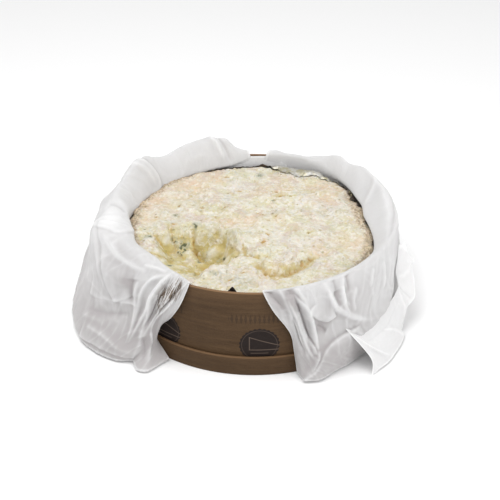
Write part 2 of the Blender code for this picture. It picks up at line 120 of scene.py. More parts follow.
# The cheese's side: share of its height, share of its radius.
CHEESE_SIDE = [(0.0, 0.968), (0.06, 0.986), (0.45, 1.0), (0.80, 0.983)]
SIDE_UP, SIDE_OUT = CHEESE_SIDE[-1]
# The shoulder over it: share of the height, share of the way from the top's outline to the side.
SHOULDER_UP, SHOULDER_OUT = 0.94, 0.80
# The radius of the top's outline, by azimuth.
EDGE_REACH = [(0, 135.5), (60, 136.5), (70, 134), (80, 128), (90, 124), (100, 123), (110, 126),
    (120, 131), (130, 136), (140, 137.5), (195, 137.5), (205, 139), (255, 139.5), (270, 137), (360, 135.5)]
# How ragged it is, with noise of two sizes, and how far the top falls towards it.
EDGE_RAGGED = 0.0035
RAGGED_SIZES = (0.012, 0.0032)
EDGE_FALL = 0.0026
# The scooped hollow: its middle, depth and reach by angle from +X.
SCOOP_MIDDLE = (-0.060, -0.058)
SCOOP_DEPTH = 0.024
SCOOP_REACH = [(0, 56), (30, 58), (60, 53), (90, 52), (120, 64), (150, 64), (185, 50), (225, 53),
    (250, 55), (270, 52), (285, 44), (305, 40), (335, 43), (360, 56)]
# How much of that reach its wall takes, by angle; above two thirds it turns into a straight slope.
SCOOP_WALL = [(0, 0.5), (60, 0.28), (120, 0.3), (165, 0.55), (200, 0.92), (255, 0.95), (275, 0.75),
    (290, 0.55), (330, 0.45), (360, 0.5)]
# Lumps left in it: middle, radius, height.
SCOOP_LUMPS = in_metres([((-22, -40), 20, 10), ((-98, -40), 17, 6)])
# The torn ledge at its right.
LEDGE_LINE = in_metres([(-2, -80), (14, -103), (36, -94), (56, -78), (72, -60)])
LEDGE_WIDTH = 0.011
LEDGE_DEPTH = 0.008
# Shallow dips: middle, radius, depth.
PITS = in_metres([((-36, 36), 7, 3), ((-26, 105), 6, 3), ((49, -43), 12, 3), ((27, -72), 9, 3),
    ((60, 40), 8, 2), ((-85, 60), 9, 2)])
CRAG_HEIGHT = 0.0014
CRAG_WAVES = 14
CRAG_LENGTHS = (0.022, 0.070)
CRAG_SEED = 11
# Round lobes left standing in and around the hollow: middle, radius, height.
LOBES = in_metres([((-42, -18), 16, 12.5), ((-53, -14), 10, 6), ((-22, -26), 13.5, 8),
    ((-10, -27), 11, 4.5), ((-28, -52), 9, 4.5), ((-97, -20), 9, 6), ((-108, -34), 12, 4),
    ((-69, -18), 7.5, 2.6), ((-90, -52), 15, 2.8), ((-74, -66), 15, 2.4), ((-58, -80), 14, 2.4),
    ((-86, -80), 13, 2.2), ((-20, -68), 11, 3.5), ((6, -58), 12, 3), ((-4, -96), 12, 2.8),
    ((-34, -92), 10, 3), ((-47, -101), 9, 2.6), ((22, -76), 11, 2.8), ((34, -68), 9, 2.6),
    ((48, -94), 13, 2.6), ((70, -78), 12, 2.2)])
# Crevices between them: line, width, depth.
CREVICES = in_metres([([(-66, -10), (-61, -24), (-50, -38), (-34, -40)], 3.8, 4.5),
    ([(-56, -46), (-44, -54), (-30, -58)], 6, 4.5), ([(-91, -8), (-86, -20), (-78, -30)], 3, 1.4),
    ([(-113, -18), (-104, -21), (-99, -26)], 2.4, 1.6), ([(-107, -59), (-98, -60), (-88, -42)], 2.4, 1.4),
    ([(-78, -50), (-70, -58), (-56, -62)], 3, 1.4),
    ([(4, -80), (16, -94), (34, -90), (52, -76), (62, -64)], 4, 3),
    ([(-14, -46), (-8, -60), (4, -70)], 2.4, 1.6)])
# Small deep pits, with painted shade in brown-orange at their bottoms: middles.
AMBER_PITS = in_metres([(-32, 109), (-85, 38), (-33, 37), (-44, 16), (4, 27), (9, 23), (27, 70), (14, 9),
    (44, -13), (61, -22), (14, -18), (12, -35), (14, -69), (-58, 39), (31, 63), (24, 18), (-109, 16),
    (-88, -1), (67, 74), (14, -94), (30, -92), (37, -86), (50, -73), (-12, -98), (-23, -110), (58, -65),
    (43, -82), (22, -99), (-65, -13), (-62, -19), (-58, -36), (-14, 74)])
AMBER_DEPTH = 0.0024
AMBER_WIDTH = 0.0015
AMBER_EDGE = (0.0011, 0.0018)
# How far torn edges wander, and over what length.
TEAR_SHIFT = 0.0045
TEAR_SIZE = 0.016
# The finer curd: heights and sizes of its torn steps, crumbs and swirls.
TORN_HEIGHT, TORN_SIZE, TORN_STEP = 0.0034, 0.014, 0.0013
CRUMB_HEIGHT, CRUMB_SIZE = 0.0014, 0.0040
SWIRL_HEIGHT, SWIRL_SIZE = 0.0012, 0.014
# The depths at which the curd begins to count as the hollow's, and wholly does.
HOLLOW_FROM, HOLLOW_FULL = 0.004, 0.012
# How far below its neighbours the fine curd is a full pit, and the broad relief a full dip: there the
# painted shade is full, and the same height above them gives a full painted highlight.
FULL_PIT, FULL_DIP = 0.0006, 0.0018
# The most broken curd, along the front.
BROKEN_MIDDLE = (-0.005, -0.095)
BROKEN_REACH = 0.035
# Where the rind begins, as a share of the outline's radius, and how strong it is, by azimuth.
RIND_START = [(0, 0.97, 0.3), (40, 0.96, 0.4), (65, 0.91, 0.8), (90, 0.91, 1), (115, 0.91, 0.8),
    (140, 0.95, 0.5), (180, 0.95, 0.7), (205, 0.925, 1), (240, 0.91, 1), (275, 0.91, 1), (310, 0.95, 0.6),
    (360, 0.97, 0.3)]
# Patches of colour on the top: middle, radius, strength. The gold spots are painted shade, in deep
# places of the hollow, round pits and along the torn ledge.
GOLD_SPOTS = [((-48, -44), 10, 1), ((-41, -42), 10, 1), ((-60, -20), 6, 0.9), ((-58, -34), 8, 0.8),
    ((-33, 30), 6, 0.6), ((-44, 14), 4, 0.5), ((30, 65), 6, 0.5), ((19, -92), 8, 0.8),
    ((32, -88), 7, 0.9), ((42, -81), 6, 0.7), ((10, -80), 6, 0.5), ((-12, -98), 6, 0.5),
    ((45, -10), 7, 0.4)]
# On the front lip, at y from about -90 to -115, the entries of the mould, blush and lilac tables are painted
# shade as well as colour: they darken that slope.
MOULD_SPOTS = [((-79, -17), 6, 1), ((-81, -23), 5, 1), ((-74, -14), 4, 0.7), ((-88, -14), 4, 0.7),
    ((-58, -36), 4, 0.9), ((-38, -38), 3.5, 1), ((-33, -40), 3, 0.9), ((-114, -27), 6, 0.8),
    ((-95, -37), 4, 0.5), ((-87, -69), 5, 0.6), ((-81, -92), 6, 0.5), ((-62, -5), 4, 0.8),
    ((-87, 21), 6, 0.6), ((-4, -18), 5, 0.5), ((6, 112), 9, 0.5), ((21, 48), 3, 0.7), ((7, -60), 6, 0.4),
    ((55, 10), 14, 0.3), ((82, 6), 10, 0.3), ((49, -26), 10, 0.3), ((95, -84), 14, 0.35),
    ((60, -90), 12, 0.35), ((-40, -101), 6, 0.5), ((-12, -114), 20, 0.4), ((-30, -106), 14, 0.4),
    ((-131, 14), 7, 0.6)]
BLUSH_PATCHES = [((-73, 90), 22, 1), ((-112, 48), 20, 1), ((-122, 14), 12, 0.9), ((-45, 104), 14, 0.9),
    ((-26, 6), 12, 1), ((-6, 10), 12, 1), ((9, 74), 13, 0.8), ((34, 80), 12, 0.7), ((80, 57), 16, 0.8),
    ((70, -56), 10, 0.9), ((108, -40), 18, 0.8), ((-109, 14), 8, 0.9), ((80, 85), 16, 0.8),
    ((30, 108), 12, 0.6), ((-79, 58), 14, 0.7), ((28, 10), 8, 0.7), ((20, -100), 10, 0.7),
    ((-30, -110), 12, 0.5), ((6, -106), 10, 0.5)]
LILAC_PATCHES = [((-20, 87), 14, 0.9), ((-32, 54), 9, 0.8), ((52, 52), 16, 0.9), ((78, 38), 14, 0.9),
    ((93, 25), 12, 0.8), ((35, -32), 12, 0.8), ((57, -41), 12, 0.7), ((9, -5), 10, 0.8),
    ((55, -88), 16, 0.8), ((-80, 40), 12, 0.7), ((-107, 24), 10, 0.8), ((115, -10), 14, 0.7),
    ((35, -66), 10, 0.7), ((-20, -106), 22, 1), ((-36, -98), 14, 1), ((0, -92), 12, 0.7),
    ((12, -112), 14, 0.7)]

# The foil's free teeth: how tall they stand, and the one at the front (azimuth, half width, height).
FOIL_TEETH = 0.0045
FRONT_TOOTH = (-9.0, 4.2, 0.0110)
# The share of the cheese's height where its band begins, how far it stands off the curd, and how far
# below the cheese's top it may lie on it or sink beside it.
FOIL_START = 0.30
FOIL_OFF = 0.0006
FOIL_LOWEST = 0.0030
FOIL_SUNK = 0.0035
# Its crumples: their size, and how far they move it up and out.
CRUMPLE_SIZE, CRUMPLE_UP, CRUMPLE_OUT = 0.007, 0.0014, 0.0010
# A fold of this length counts as the whole flap, which bulges by this much.
FULL_FLAP = 0.010
FLAP_BULGE = 0.0025
# How far it is folded in over the top, by azimuth.
FOIL_FLAP = [(0, 0), (122, 0), (130, 2), (137, 6), (145, 11.5), (150, 15.5), (154, 18.5), (162, 18),
    (168, 10), (172, 3), (175, 0), (360, 0)]
# Flakes that lie in over the edge, in the foil's painted dark shade: azimuth, half width in degrees,
# reach.
FOIL_FLAKES = [(141, 3, 5), (132.5, 3.2, 6), (123.5, 4, 6.5), (118, 2.5, 6), (112, 2.6, 5), (92, 5, 3),
    (184, 3, 1.6), (192, 3, 1.4)]
# How tall the free teeth stand, as a share, by azimuth; below 0 the edge lies under the cheese's.
FOIL_FREE = [(0, -1), (62, -1), (68, 0.1), (85, 0.3), (97, 0.4), (99, -0.6), (101, -1), (108, -1),
    (110, 0.3), (113.5, 0.3), (115, -0.3), (116, 0.4), (125.5, 0.5), (127.5, -0.6), (129.5, 0.4),
    (135, 0.4), (137, -0.3), (138.5, 0.4), (150, 0.3), (168, 0.3), (172, 0.4), (178, 0.3), (186, 0.2),
    (200, 0.2), (207, 0), (212, -1), (226, -1), (229, 0.1), (232, -1), (340, -1), (345, 0), (355, 0),
    (359, -1), (360, -1)]

# The muslin's guide lines, from the inner edge over the rim to the hem. The rows of a line are
# share along it, azimuth, distance out from the hoop and height over the rim.
LEFT_GUIDES = [
    [(0, -25, -5.4, -30), (100, -178, -5.4, -30)],
    [(0, -25, -5.4, -4), (30, -60, -6.6, -14), (55, -92, -6.6, -18), (100, -178, -5.4, -14)],
    [(0, -26, -2, 2.5), (8, -31, -7, 3), (14, -38, -11, 2), (22, -50, -18, 0), (34, -64, -14, 0),
     (42, -78, -17, 0), (50, -94, -12, -1), (55, -103, -11.2, -8.5), (60, -112, -12.5, -9.6),
     (72, -130, -11.8, -9.8), (80, -143, -12.2, -9.8), (88, -157, -10.8, -9.2), (94, -168, -8.5, -8),
     (100, -178.5, -4.8, -3)],
    [(0, -25, 1.5, 3), (14, -36, 1, 6), (22, -46, 0, 7), (34, -62, 1, 8), (45, -84, 6, 6),
     (52, -97, 7, 10), (58, -106, 6, 14), (63, -114, 6, 17), (67, -121, 6, 24), (70, -126, 6, 25.5),
     (74, -132, 6, 18), (78, -138, 5, 14.5), (84, -149, 6, 20), (90, -160, 7, 22), (94, -167, 6, 20),
     (97, -172, 3, 8), (100, -177.5, 0.8, 3)],
    [(0, -27, 5, -14), (14, -38, 11, -10), (22, -47, 15, -8), (34, -63, 21, -6), (45, -84, 22, -3),
     (52, -96, 20, 0), (60, -109, 16, 4), (70, -126, 15, 8), (80, -142, 15, 4), (92, -163, 13, 4),
     (100, -177, 3.5, -10)],
    [(0, -33, 5.5, -43), (14, -40, 16, -43), (22, -48, 24, -43), (34, -64, 33, -43), (45, -82, 34, -43),
     (55, -98, 32, -43), (85, -150, 20, -32), (100, -177, 4.5, -20)],
    [(0, -41.5, 6, -72), (5, -38.5, 12, -72), (10, -38, 24, -72), (16, -43, 30, -72), (24, -50, 40, -72),
     (36, -65, 50, -72), (50, -84, 46, -72), (70, -118, 36, -64), (85, -148, 26, -48), (100, -177, 5, -28)],
    [(0, -34, 7, -95), (3, -35, 16, -95.5), (6, -36, 36, -95.5), (9, -39, 41, -95.5),
     (13, -43.5, 33, -95.5), (17, -46, 42, -95.5), (24, -52, 51, -95.5), (34, -63, 58, -95.5),
     (44, -74, 56, -95.5), (55, -90, 51, -95), (70, -115, 40, -86), (85, -147, 28, -62),
     (100, -177, 5.5, -36)],
]
RIGHT_GUIDES = [
    [(0, 4, -5.4, -30), (40, 57, -5.8, -30), (62, 97, -7.4, -30), (100, 175, -5.4, -30)],
    [(0, 4, -5.4, -4), (40, 57, -6.2, -12), (62, 97, -7.2, -16), (100, 175, -5.4, -12)],
    [(0, 3.5, -2.5, 2), (20, 28, -3.5, 2), (32, 44, -5, 1), (40, 57, -7, -1), (45, 66, -12, -7),
     (50, 75, -17.5, -8.2), (56, 86, -23.5, -8.5), (62, 97, -27, -8.5), (68, 108, -22, -8.5),
     (73, 117, -19.5, -8), (79, 128, -13, -6.5), (84, 138, -8, -3), (90, 150, -4.8, 0),
     (94, 160, -4.2, 1.4), (100, 174, -4, 1.4)],
    [(0, 3, 1, 2.5), (20, 28, 1, 3.5), (42, 60, 1, 4.5), (50, 75, 2, 5), (56, 86, 3, 6), (62, 98, 3, 6.5),
     (68, 108, 4, 8.5), (73, 117, 4, 8), (78, 127, 4, 11.5), (81, 134, 4, 8.5), (84, 139, 5, 13),
     (88, 148, 4, 6.5), (92, 157, 1, 2.5), (95.5, 165, 1, 2.5), (97.5, 169, 2, 4.5), (100, 172.7, 2, 4)],
    [(0, 6, 5, -14), (20, 27, 9, -10), (32, 42, 11, -10), (42, 59, 9, -12), (50, 74, 7, -14),
     (56, 86, 6, -14), (62, 98, 7, -12), (72, 115, 9, -8), (80, 132, 10, -4), (88, 148, 8, -8),
     (100, 173.5, 5, -10)],
    [(0, 13, 5.5, -45), (10, 18, 11, -43), (20, 27, 17, -43), (30, 38, 20, -43), (38, 48, 19, -43),
     (45, 61, 15, -41), (51, 72, 8.5, -39), (56, 82, 8.5, -39), (60, 91, 9.5, -38), (68, 106, 12, -36),
     (85, 140, 12, -32), (100, 174, 6, -22)],
    [(0, 15, 6, -72), (5, 16, 13, -72), (10, 19, 20, -72), (18, 27, 24, -72), (26, 37, 22, -72),
     (33, 47, 22, -72), (42, 60, 18, -72), (50, 72, 12.5, -72), (56, 82, 12.5, -72), (64, 96, 14, -69),
     (75, 116, 17, -62), (88, 146, 15, -44), (100, 175, 7, -30)],
    [(0, 16, 8, -95.5), (4, 17, 21, -95.5), (9, 22, 25, -95.5), (15, 28, 21, -95.5), (21, 36, 18, -95.5),
     (27, 45, 15, -95.5), (34, 53, 14, -95.5), (42, 63, 15, -95), (50, 74, 14, -94), (56, 83, 15, -92),
     (64, 96, 17, -86), (75, 115, 20, -76), (88, 146, 18, -54), (100, 175, 8, -38)],
]
# The corner of the right end, folded forward over it: its inner, middle and outer lines.
FLAP_GUIDES = [
    [(0, 32, 21.5, -45), (25, 40.5, 22, -59.3), (45, 48.5, 20.3, -55.4), (60, 58, 17.8, -51.9),
     (75, 66.5, 17, -47.8), (83, 68.5, 13.5, -41), (90, 70.5, 10.5, -36.2), (95, 74, 9.5, -26.3),
     (100, 78, 9, -16)],
    [(0, 38.5, 39.6, -80), (25, 43, 36.9, -75.9), (45, 52, 31.5, -71.9), (60, 59, 25.6, -69.2),
     (75, 66.5, 24.7, -59.1), (83, 70, 24, -54.3), (90, 73, 18.8, -41.7), (95, 76, 16.7, -30.2),
     (100, 79, 12, -16)],
    [(0, 37.7, 45.9, -96.5), (12, 41, 44.5, -95.5), (25, 45.5, 43.5, -95.5), (35, 51.5, 39.6, -95.5),
     (45, 58.5, 35.3, -95.5), (52, 61, 33, -93.7), (60, 63, 27.9, -93), (68, 65, 27.6, -82.5),
     (75, 67, 28.8, -71.2), (83, 71, 33.4, -65.7), (90, 75, 28.4, -47.5), (94, 77, 24.2, -38.5),
     (96, 78, 26.9, -34.4), (98.5, 79, 19.3, -26.6), (100, 80, 15.3, -15.4)],
]
# Where the cloth lines the wall between its two ends at the back: low, middle and upper lines.
LINING_GUIDES = [
    [(0, -168, -6, -30), (100, -196, -6, -30)],
    [(0, -168, -6, -12), (40, -179, -6.4, -11), (100, -196, -6, -12)],
    [(0, -168, -4.8, -3), (40, -179, -4, -1.2), (75, -188, -4, -0.8), (100, -196, -4.8, -3)],
]
# Folds: height, half width, line as (share along, share down).
LEFT_FOLDS = [
    (4.5, 26, [(47, 48), (36, 51), (27, 68)]),
    (2.4, 13, [(34, 76), (26, 69), (20, 65)]),
    (-2.6, 14, [(35, 82), (26, 77), (21, 72)]),
    (-4, 12, [(23, 50), (21, 66)]),
    (4.5, 11, [(11, 38), (14, 52), (15, 74), (14, 90)]),
    (4, 13, [(55, 45), (58, 95)]),
    (4, 14, [(72, 50), (76, 100)]),
    (3.4, 5.5, [(20.7, 50), (19.7, 63.3), (19, 76), (18.6, 90)]),
    (3.4, 5, [(11.7, 40.7), (16.6, 44.7), (17.9, 53.3), (18.6, 65.3), (18.6, 76)]),
    (3.6, 4.5, [(10.5, 40), (12.4, 45.3), (14.1, 54.7), (15.9, 69.3), (17.5, 80), (17.8, 89)]),
    (3.4, 4.5, [(6.9, 38.7), (6.2, 50), (8.2, 62.7), (12.1, 75.3), (13.8, 83)]),
    (3.4, 4.5, [(1.4, 39), (3.8, 48.7), (5.6, 62), (10.7, 73.3), (11.7, 79.3), (10, 86)]),
    (2.2, 4, [(11.7, 79.3), (10, 86), (6, 97)]),
    (-3, 4.5, [(10, 42), (10.5, 54), (12.8, 68), (15, 80)]),
    (-2.6, 4, [(3, 42), (6, 54), (9, 66)]),
    (2.4, 5, [(22.1, 42.7), (17.2, 40), (13.4, 38.7)]),
    (-1.2, 10, [(23.1, 48), (22.1, 57.3), (21.2, 64)]),
    (-3.4, 7, [(14.1, 82.7), (12.8, 89.3), (8.6, 94.7)]),
    (2.2, 8, [(33, 89.5), (30.3, 88.5), (25.2, 89), (18.6, 93.5), (12.5, 94)]),
    (0.8, 7, [(37.2, 87), (31, 82.7), (27.9, 84)]),
    (2.2, 4, [(40.3, 44.7), (28.3, 45.8), (19.7, 44.7)]),
    (2.2, 4, [(93, 30), (90, 42), (87.5, 50)]),
    (-1.8, 4, [(95, 28), (92, 42), (89.5, 50)]),
    (-2.2, 6, [(50.7, 43), (50, 34.7), (47.9, 30)]),
    (1.6, 4, [(66, 42), (67.2, 35), (68, 29)]),
]
RIGHT_FOLDS = [
    (3.4, 11, [(4.8, 30), (5.8, 41), (6, 60), (10, 86)]),
    (-3.4, 11, [(7.4, 31), (8.8, 44), (11, 60), (12, 82)]),
    (3.6, 11, [(9.6, 32), (12, 43), (14.6, 62), (15, 78)]),
    (4, 14, [(19, 33), (20.5, 44), (23.1, 53), (28.5, 60), (35, 71)]),
    (-3.8, 10, [(1, 31), (3, 40), (4, 47)]),
    (2.6, 8, [(25.5, 32), (24.7, 42), (25, 49), (27.2, 53.5)]),
    (-2.4, 9, [(22.2, 33), (23, 42), (23.8, 48)]),
    (-2.6, 9, [(26.8, 33), (27.5, 46)]),
    (4, 14, [(62, 48), (64, 100)]),
    (4, 14, [(80, 50), (82, 100)]),
    (-2.8, 4.5, [(6.2, 52), (5.2, 68.7), (8.6, 76.7), (9, 82)]),
    (3.2, 5, [(6.6, 40), (7.2, 48.7), (7.9, 62.7), (10.3, 76), (12.4, 87.3)]),
    (-3.6, 5, [(9, 43), (9.7, 58.7), (11.1, 67.3), (13.5, 76)]),
    (3, 4.5, [(14.5, 79), (13.1, 87.3), (3.8, 100)]),
    (-3.4, 7, [(15, 61), (17.2, 64), (18.6, 66.7)]),
    (3.2, 5, [(20, 42), (21, 48), (22.4, 53.3), (24.8, 56.7), (27.9, 61.3), (32, 67)]),
    (3, 4.5, [(24.8, 40), (24.8, 46.7), (25.2, 52.7), (26.6, 56.7)]),
    (-3, 5, [(22.4, 42), (22.7, 46.7), (23.6, 52)]),
    (1.8, 3.5, [(36.6, 39), (35.6, 44), (35, 49)]),
    (1.6, 4, [(41, 40), (40.3, 48.7), (40.7, 56)]),
    (1.6, 5, [(30, 44), (28.5, 52), (29, 58)]),
    (2, 5, [(79, 37.3), (75.5, 34), (68.6, 32), (59.3, 30), (50, 29)]),
    (1.8, 4.5, [(74, 36.5), (70, 29), (66, 24)]),
    (-1.6, 5, [(64, 35), (56, 31), (47, 31)]),
]
FLAP_FOLDS = [
    (-0.8, 8, [(10, 20), (30, 25), (45, 35), (62, 30), (72, 15)]),
    (2.4, 5, [(2, 10), (20, 50), (30, 90)]),
    (-1.6, 4.5, [(77, 0), (79, 45), (82, 100)]),
    (2, 4, [(72, 5), (70, 50), (68, 95)]),
    (1.8, 4, [(40, 30), (48, 60), (50, 100)]),
    (1.6, 4, [(86, 10), (90, 60), (96, 100)]),
]
# Layers: the sheet steps up at the line, on the right of its direction with down as down:
# height, how far the layer reaches from the line, line.
LEFT_LAYERS = [
    (1.6, 40, [(46, 52), (43, 46.5), (40.5, 42), (38.5, 40), (38, 36), (39, 31), (40.5, 25.5)]),
    (2.4, 30, [(70.7, 24), (70.7, 31), (70, 34.5), (68, 42), (65, 52)]),
    (2.4, 24, [(34.5, 98), (30.7, 97.2), (24.5, 96.5), (17.6, 97), (12.5, 98)]),
    (1.1, 45, [(36.5, 76.5), (34.5, 75), (32.8, 74), (26.9, 69.3), (23.8, 67.3), (19, 65)]),
    (1.4, 40, [(44.5, 44), (43.1, 46), (34.5, 49.3), (27.2, 66.7), (26.2, 70)]),
]
RIGHT_LAYERS = [
    (2.6, 34, [(3, 101.5), (4.5, 99.3), (13.1, 88.7), (15.9, 80), (18.6, 75.3), (21.7, 72.7),
        (25.2, 70.7), (30, 69)]),
    (2.2, 13, [(8.4, 37), (8.6, 41.3), (9.3, 58.7), (10.7, 67.3), (13.1, 74), (13.8, 82)]),
    (2.2, 11, [(9, 37), (9.7, 40.7), (12.4, 46.7), (13.8, 54), (14.8, 61.3), (14.8, 70.7), (14.5, 80)]),
    (2.2, 18, [(22.5, 57), (21, 58.7), (19.3, 60), (16.6, 58.7), (13.8, 54), (13, 50)]),
]
# Painted light and shade on a cloth, partly also where it is fuller or thinner: above 0 it is painted
# brighter and fuller, a painted highlight, below 0 thinner and darker, painted shade: share along and
# down, reach along and down, amount.
LEFT_LIGHT_AND_FULLNESS = [((44.2, 40.5), (24, 14), 0.45), ((31.2, 50), (50, 30), -0.2), ((24, 53.8), (12, 10), -0.35),
    ((31.5, 81), (30, 12), -0.1), ((10.1, 78.5), (10, 25), -0.3), ((2, 90), (12, 30), -0.45),
    ((19.8, 91.1), (20, 12), -0.15)]
RIGHT_LIGHT_AND_FULLNESS = [((4, 40), (26, 22), -0.45), ((16.6, 61.4), (12, 12), -0.35), ((8.5, 40), (6, 16), -0.3),
    ((28, 47), (50, 30), -0.2), ((8.1, 51.3), (6, 30), -0.25), ((17.2, 79.1), (20, 20), -0.1)]
# The lace-like brown marks: share along and down, reach along and down.
STAINS = [((5.5, 47), (18, 20)), ((9.5, 55), (14, 26))]
# How wide the step of a layer is, how round the ridge of a fold, and how far and over what length
# their lines wander.
LAYER_EDGE = 0.0013
FOLD_ROUND = 0.0007
FOLD_WANDER, WANDER_SIZE = 0.0012, 0.022
# Fine creases: height and size.
LONG_CREASE = (0.0007, 0.020)
CROSS_CREASE = (0.0006, 0.026)
SHARP_CREASE = (0.0006, 0.016)
# A height over the cloth round it that makes it look fully doubled, painted brighter as a painted
# highlight, with painted shade in its valleys by the same measure, and how wide its hem is.
DOUBLED_AND_LIT = 0.0042
HEM = (0.0008, 0.0030)
# The shares down a whole cloth where it leaves the inside of the wall and reaches the outside.
LEAVES_INSIDE, REACHES_OUTSIDE = 0.25, 0.36


# Small mathematics.

def smoothstep(low, high, value):
    """The share of the way from low to high, held to 0..1 and eased at both ends."""
    share = np.clip((value - low) / (high - low), 0.0, 1.0)
    return share * share * (3 - 2 * share)


def hermite(u, start, end, leaving, arriving):
    """The cubic from start to end as u goes from 0 to 1, with the given slopes at its two ends."""
    return ((2 * u**3 - 3 * u**2 + 1) * start + (u**3 - 2 * u**2 + u) * leaving
            + (3 * u**2 - 2 * u**3) * end + (u**3 - u**2) * arriving)


def find_span(knots, share):
    """The number of the span between knots that holds each share."""
    return np.clip(np.searchsorted(knots, share, side="right") - 1, 0, len(knots) - 2)


def smooth_guide(share, guide):
    """Each column of a guide as a smooth function of share, with no overshoot between its rows."""
    rows = np.array(guide, float)
    knots = rows[:, 0]
    span = np.diff(knots)
    index = find_span(knots, share)
    u = (share - knots[index]) / span[index]
    columns = []
    for value in rows[:, 1:].T:
        rise = np.diff(value) / span
        slope = np.concatenate([rise[:1], np.zeros(len(value) - 2), rise[-1:]])
        same_way = np.where(rise[:-1] * rise[1:] > 0)[0]
        before, after = rise[same_way], rise[same_way + 1]
        slope[same_way + 1] = 2 * before * after / (before + after)
        columns.append(hermite(u, value[index], value[index + 1],
                               span[index] * slope[index], span[index] * slope[index + 1]))
    return columns


def from_azimuth(azimuth, radius, height):
    """Points at an azimuth, a distance from the axis and a height."""
    angle = np.radians(azimuth)
    return np.stack([radius * np.sin(angle), -radius * np.cos(angle), height + 0 * angle], -1)


def azimuth_of(x, y):
    """The azimuth of each place, from 0 to 360."""
    return np.degrees(np.arctan2(x, -y)) % 360


def bell(x, y, middle, reach_x, reach_y):
    """A smooth round hill of height 1: e to the power of less the squares of the distances."""
    return np.exp(-((x - middle[0]) / reach_x)**2 - ((y - middle[1]) / reach_y)**2)


def falloff(distance, width):
    """The same by distance alone: 1 at none, about 0.37 at the width, next to nothing at twice it."""
    return np.exp(-(distance / width)**2)


def distance_to_line(x, y, line):
    """Distance from each point to a line of straight runs, the share along it, and the side: 1 on
    the right of its direction with y down, -1 on the left."""
    nearest = np.full(x.shape, np.inf)
    along, side = np.zeros(x.shape), np.zeros(x.shape)
    runs = len(line) - 1
    for number, ((ax, ay), (bx, by)) in enumerate(zip(line[:-1], line[1:])):
        dx, dy = bx - ax, by - ay
        t = np.clip(((x - ax) * dx + (y - ay) * dy) / (dx * dx + dy * dy), 0.0, 1.0)
        distance = np.hypot(x - ax - t * dx, y - ay - t * dy)
        closer = distance < nearest
        along = np.where(closer, (number + t) / runs, along)
        side = np.where(closer, np.sign(dx * (y - ay) - dy * (x - ax)), side)
        nearest = np.minimum(nearest, distance)
    return nearest, along, side


def spots(x, y, places):
    """The strongest of soft round spots: middle and radius in millimetres, strength."""
    total = np.zeros(x.shape)
    for middle, radius, strength in places:
        total = np.maximum(total, strength * bell(x, y, in_metres(middle), MM * radius, MM * radius))
    return total


def spread(values, times):
    """Values on a grid, averaged with their neighbours a number of times."""
    for _ in range(times):
        wide = np.pad(values, 1, mode="edge")
        beside = wide[:-2, 1:-1] + wide[2:, 1:-1] + wide[1:-1, :-2] + wide[1:-1, 2:]
        values = (wide[1:-1, 1:-1] + beside) / 5
    return values


def scatter(ix, iy, iz, seed):
    """A number from 0 to 1 for each whole-number place: an integer hash."""
    ix, iy, iz = (np.asarray(i).astype(np.int64).astype(np.uint64) for i in (ix, iy, iz))
    mixed = ix * np.uint64(374761393) + iy * np.uint64(668265263) + iz * np.uint64(2147483647)
    mixed = mixed + np.uint64(seed * 1274126177 % 2**32)
    mixed = (mixed ^ (mixed >> np.uint64(15))) * np.uint64(2246822519)
    mixed = (mixed ^ (mixed >> np.uint64(13))) * np.uint64(3266489917)
    return ((mixed ^ (mixed >> np.uint64(16))) & np.uint64(0xFFFFFF)).astype(float) / 2**24


def noise(x, y, z, size, seed):
    """Smooth noise from -1 to 1: random heights at the corners of cells of that size, blended."""
    places = [np.asarray(p, float) / size for p in (x, y, z)]
    corner = [np.floor(p) for p in places]
    ease = [(p - c)**3 * ((p - c) * ((p - c) * 6 - 15) + 10) for p, c in zip(places, corner)]
    total = 0.0
    for step in np.ndindex(2, 2, 2):
        weight = 1.0
        for share, far in zip(ease, step):
            weight = weight * (share if far else 1 - share)
        total = total + weight * scatter(*(c + far for c, far in zip(corner, step)), seed)
    return 2 * total - 1


def layered_noise(x, y, z, size, octaves, seed, gain=0.5):
    """Noise of halving size and falling strength, added up."""
    total, strength, weight = 0.0, 1.0, 0.0
    for octave in range(octaves):
        total = total + strength * noise(x, y, z, size / 2**octave, seed + octave)
        weight += strength
        strength *= gain
    return total / weight


def cells(x, y, z, size, seed):
    """Distance to the nearest of randomly placed middles, one in each cube, in units of the cube,
    and a random number for that middle."""
    place = [x / size, y / size, z / size]
    nearest = np.full(np.shape(x), 9.0)
    mark = np.zeros(np.shape(x))
    for step in np.ndindex(3, 3, 3):
        cube = [np.floor(p) + s - 1 for p, s in zip(place, step)]
        middle = [c + 0.1 + 0.8 * scatter(*cube, seed + axis) for axis, c in enumerate(cube)]
        distance = np.sqrt(sum((p - m)**2 for p, m in zip(place, middle)))
        mark = np.where(distance < nearest, scatter(*cube, seed + 3), mark)
        nearest = np.minimum(nearest, distance)
    return nearest, mark


# Meshes.

def add_mesh(name, points, faces, smooth=True):
    """A new object at the origin, from arrays or lists of points and faces."""
    mesh = bpy.data.meshes.new(name)
    mesh.from_pydata(points.tolist(), [], faces.tolist() if isinstance(faces, np.ndarray) else faces)
    if smooth:
        mesh.shade_smooth()
    obj = bpy.data.objects.new(name, mesh)
    bpy.context.scene.collection.objects.link(obj)
    return obj


def grid_faces(rows, columns, close_rows=False, close_columns=False):
    """Quads through a grid of points; a closed direction joins its last line to its first."""
    r = np.arange(rows if close_rows else rows - 1)[:, None]
    c = np.arange(columns if close_columns else columns - 1)[None, :]
    r2, c2 = (r + 1) % rows, (c + 1) % columns
    corners = [r * columns + c, r * columns + c2, r2 * columns + c2, r2 * columns + c]
    return np.stack(corners, -1).reshape(-1, 4)


def set_attribute(obj, name, values):
    """Writes one number for each point, for its material to read."""
    attribute = obj.data.attributes.new(name, "FLOAT", "POINT")
    attribute.data.foreach_set("value", np.asarray(values, np.float32).ravel())


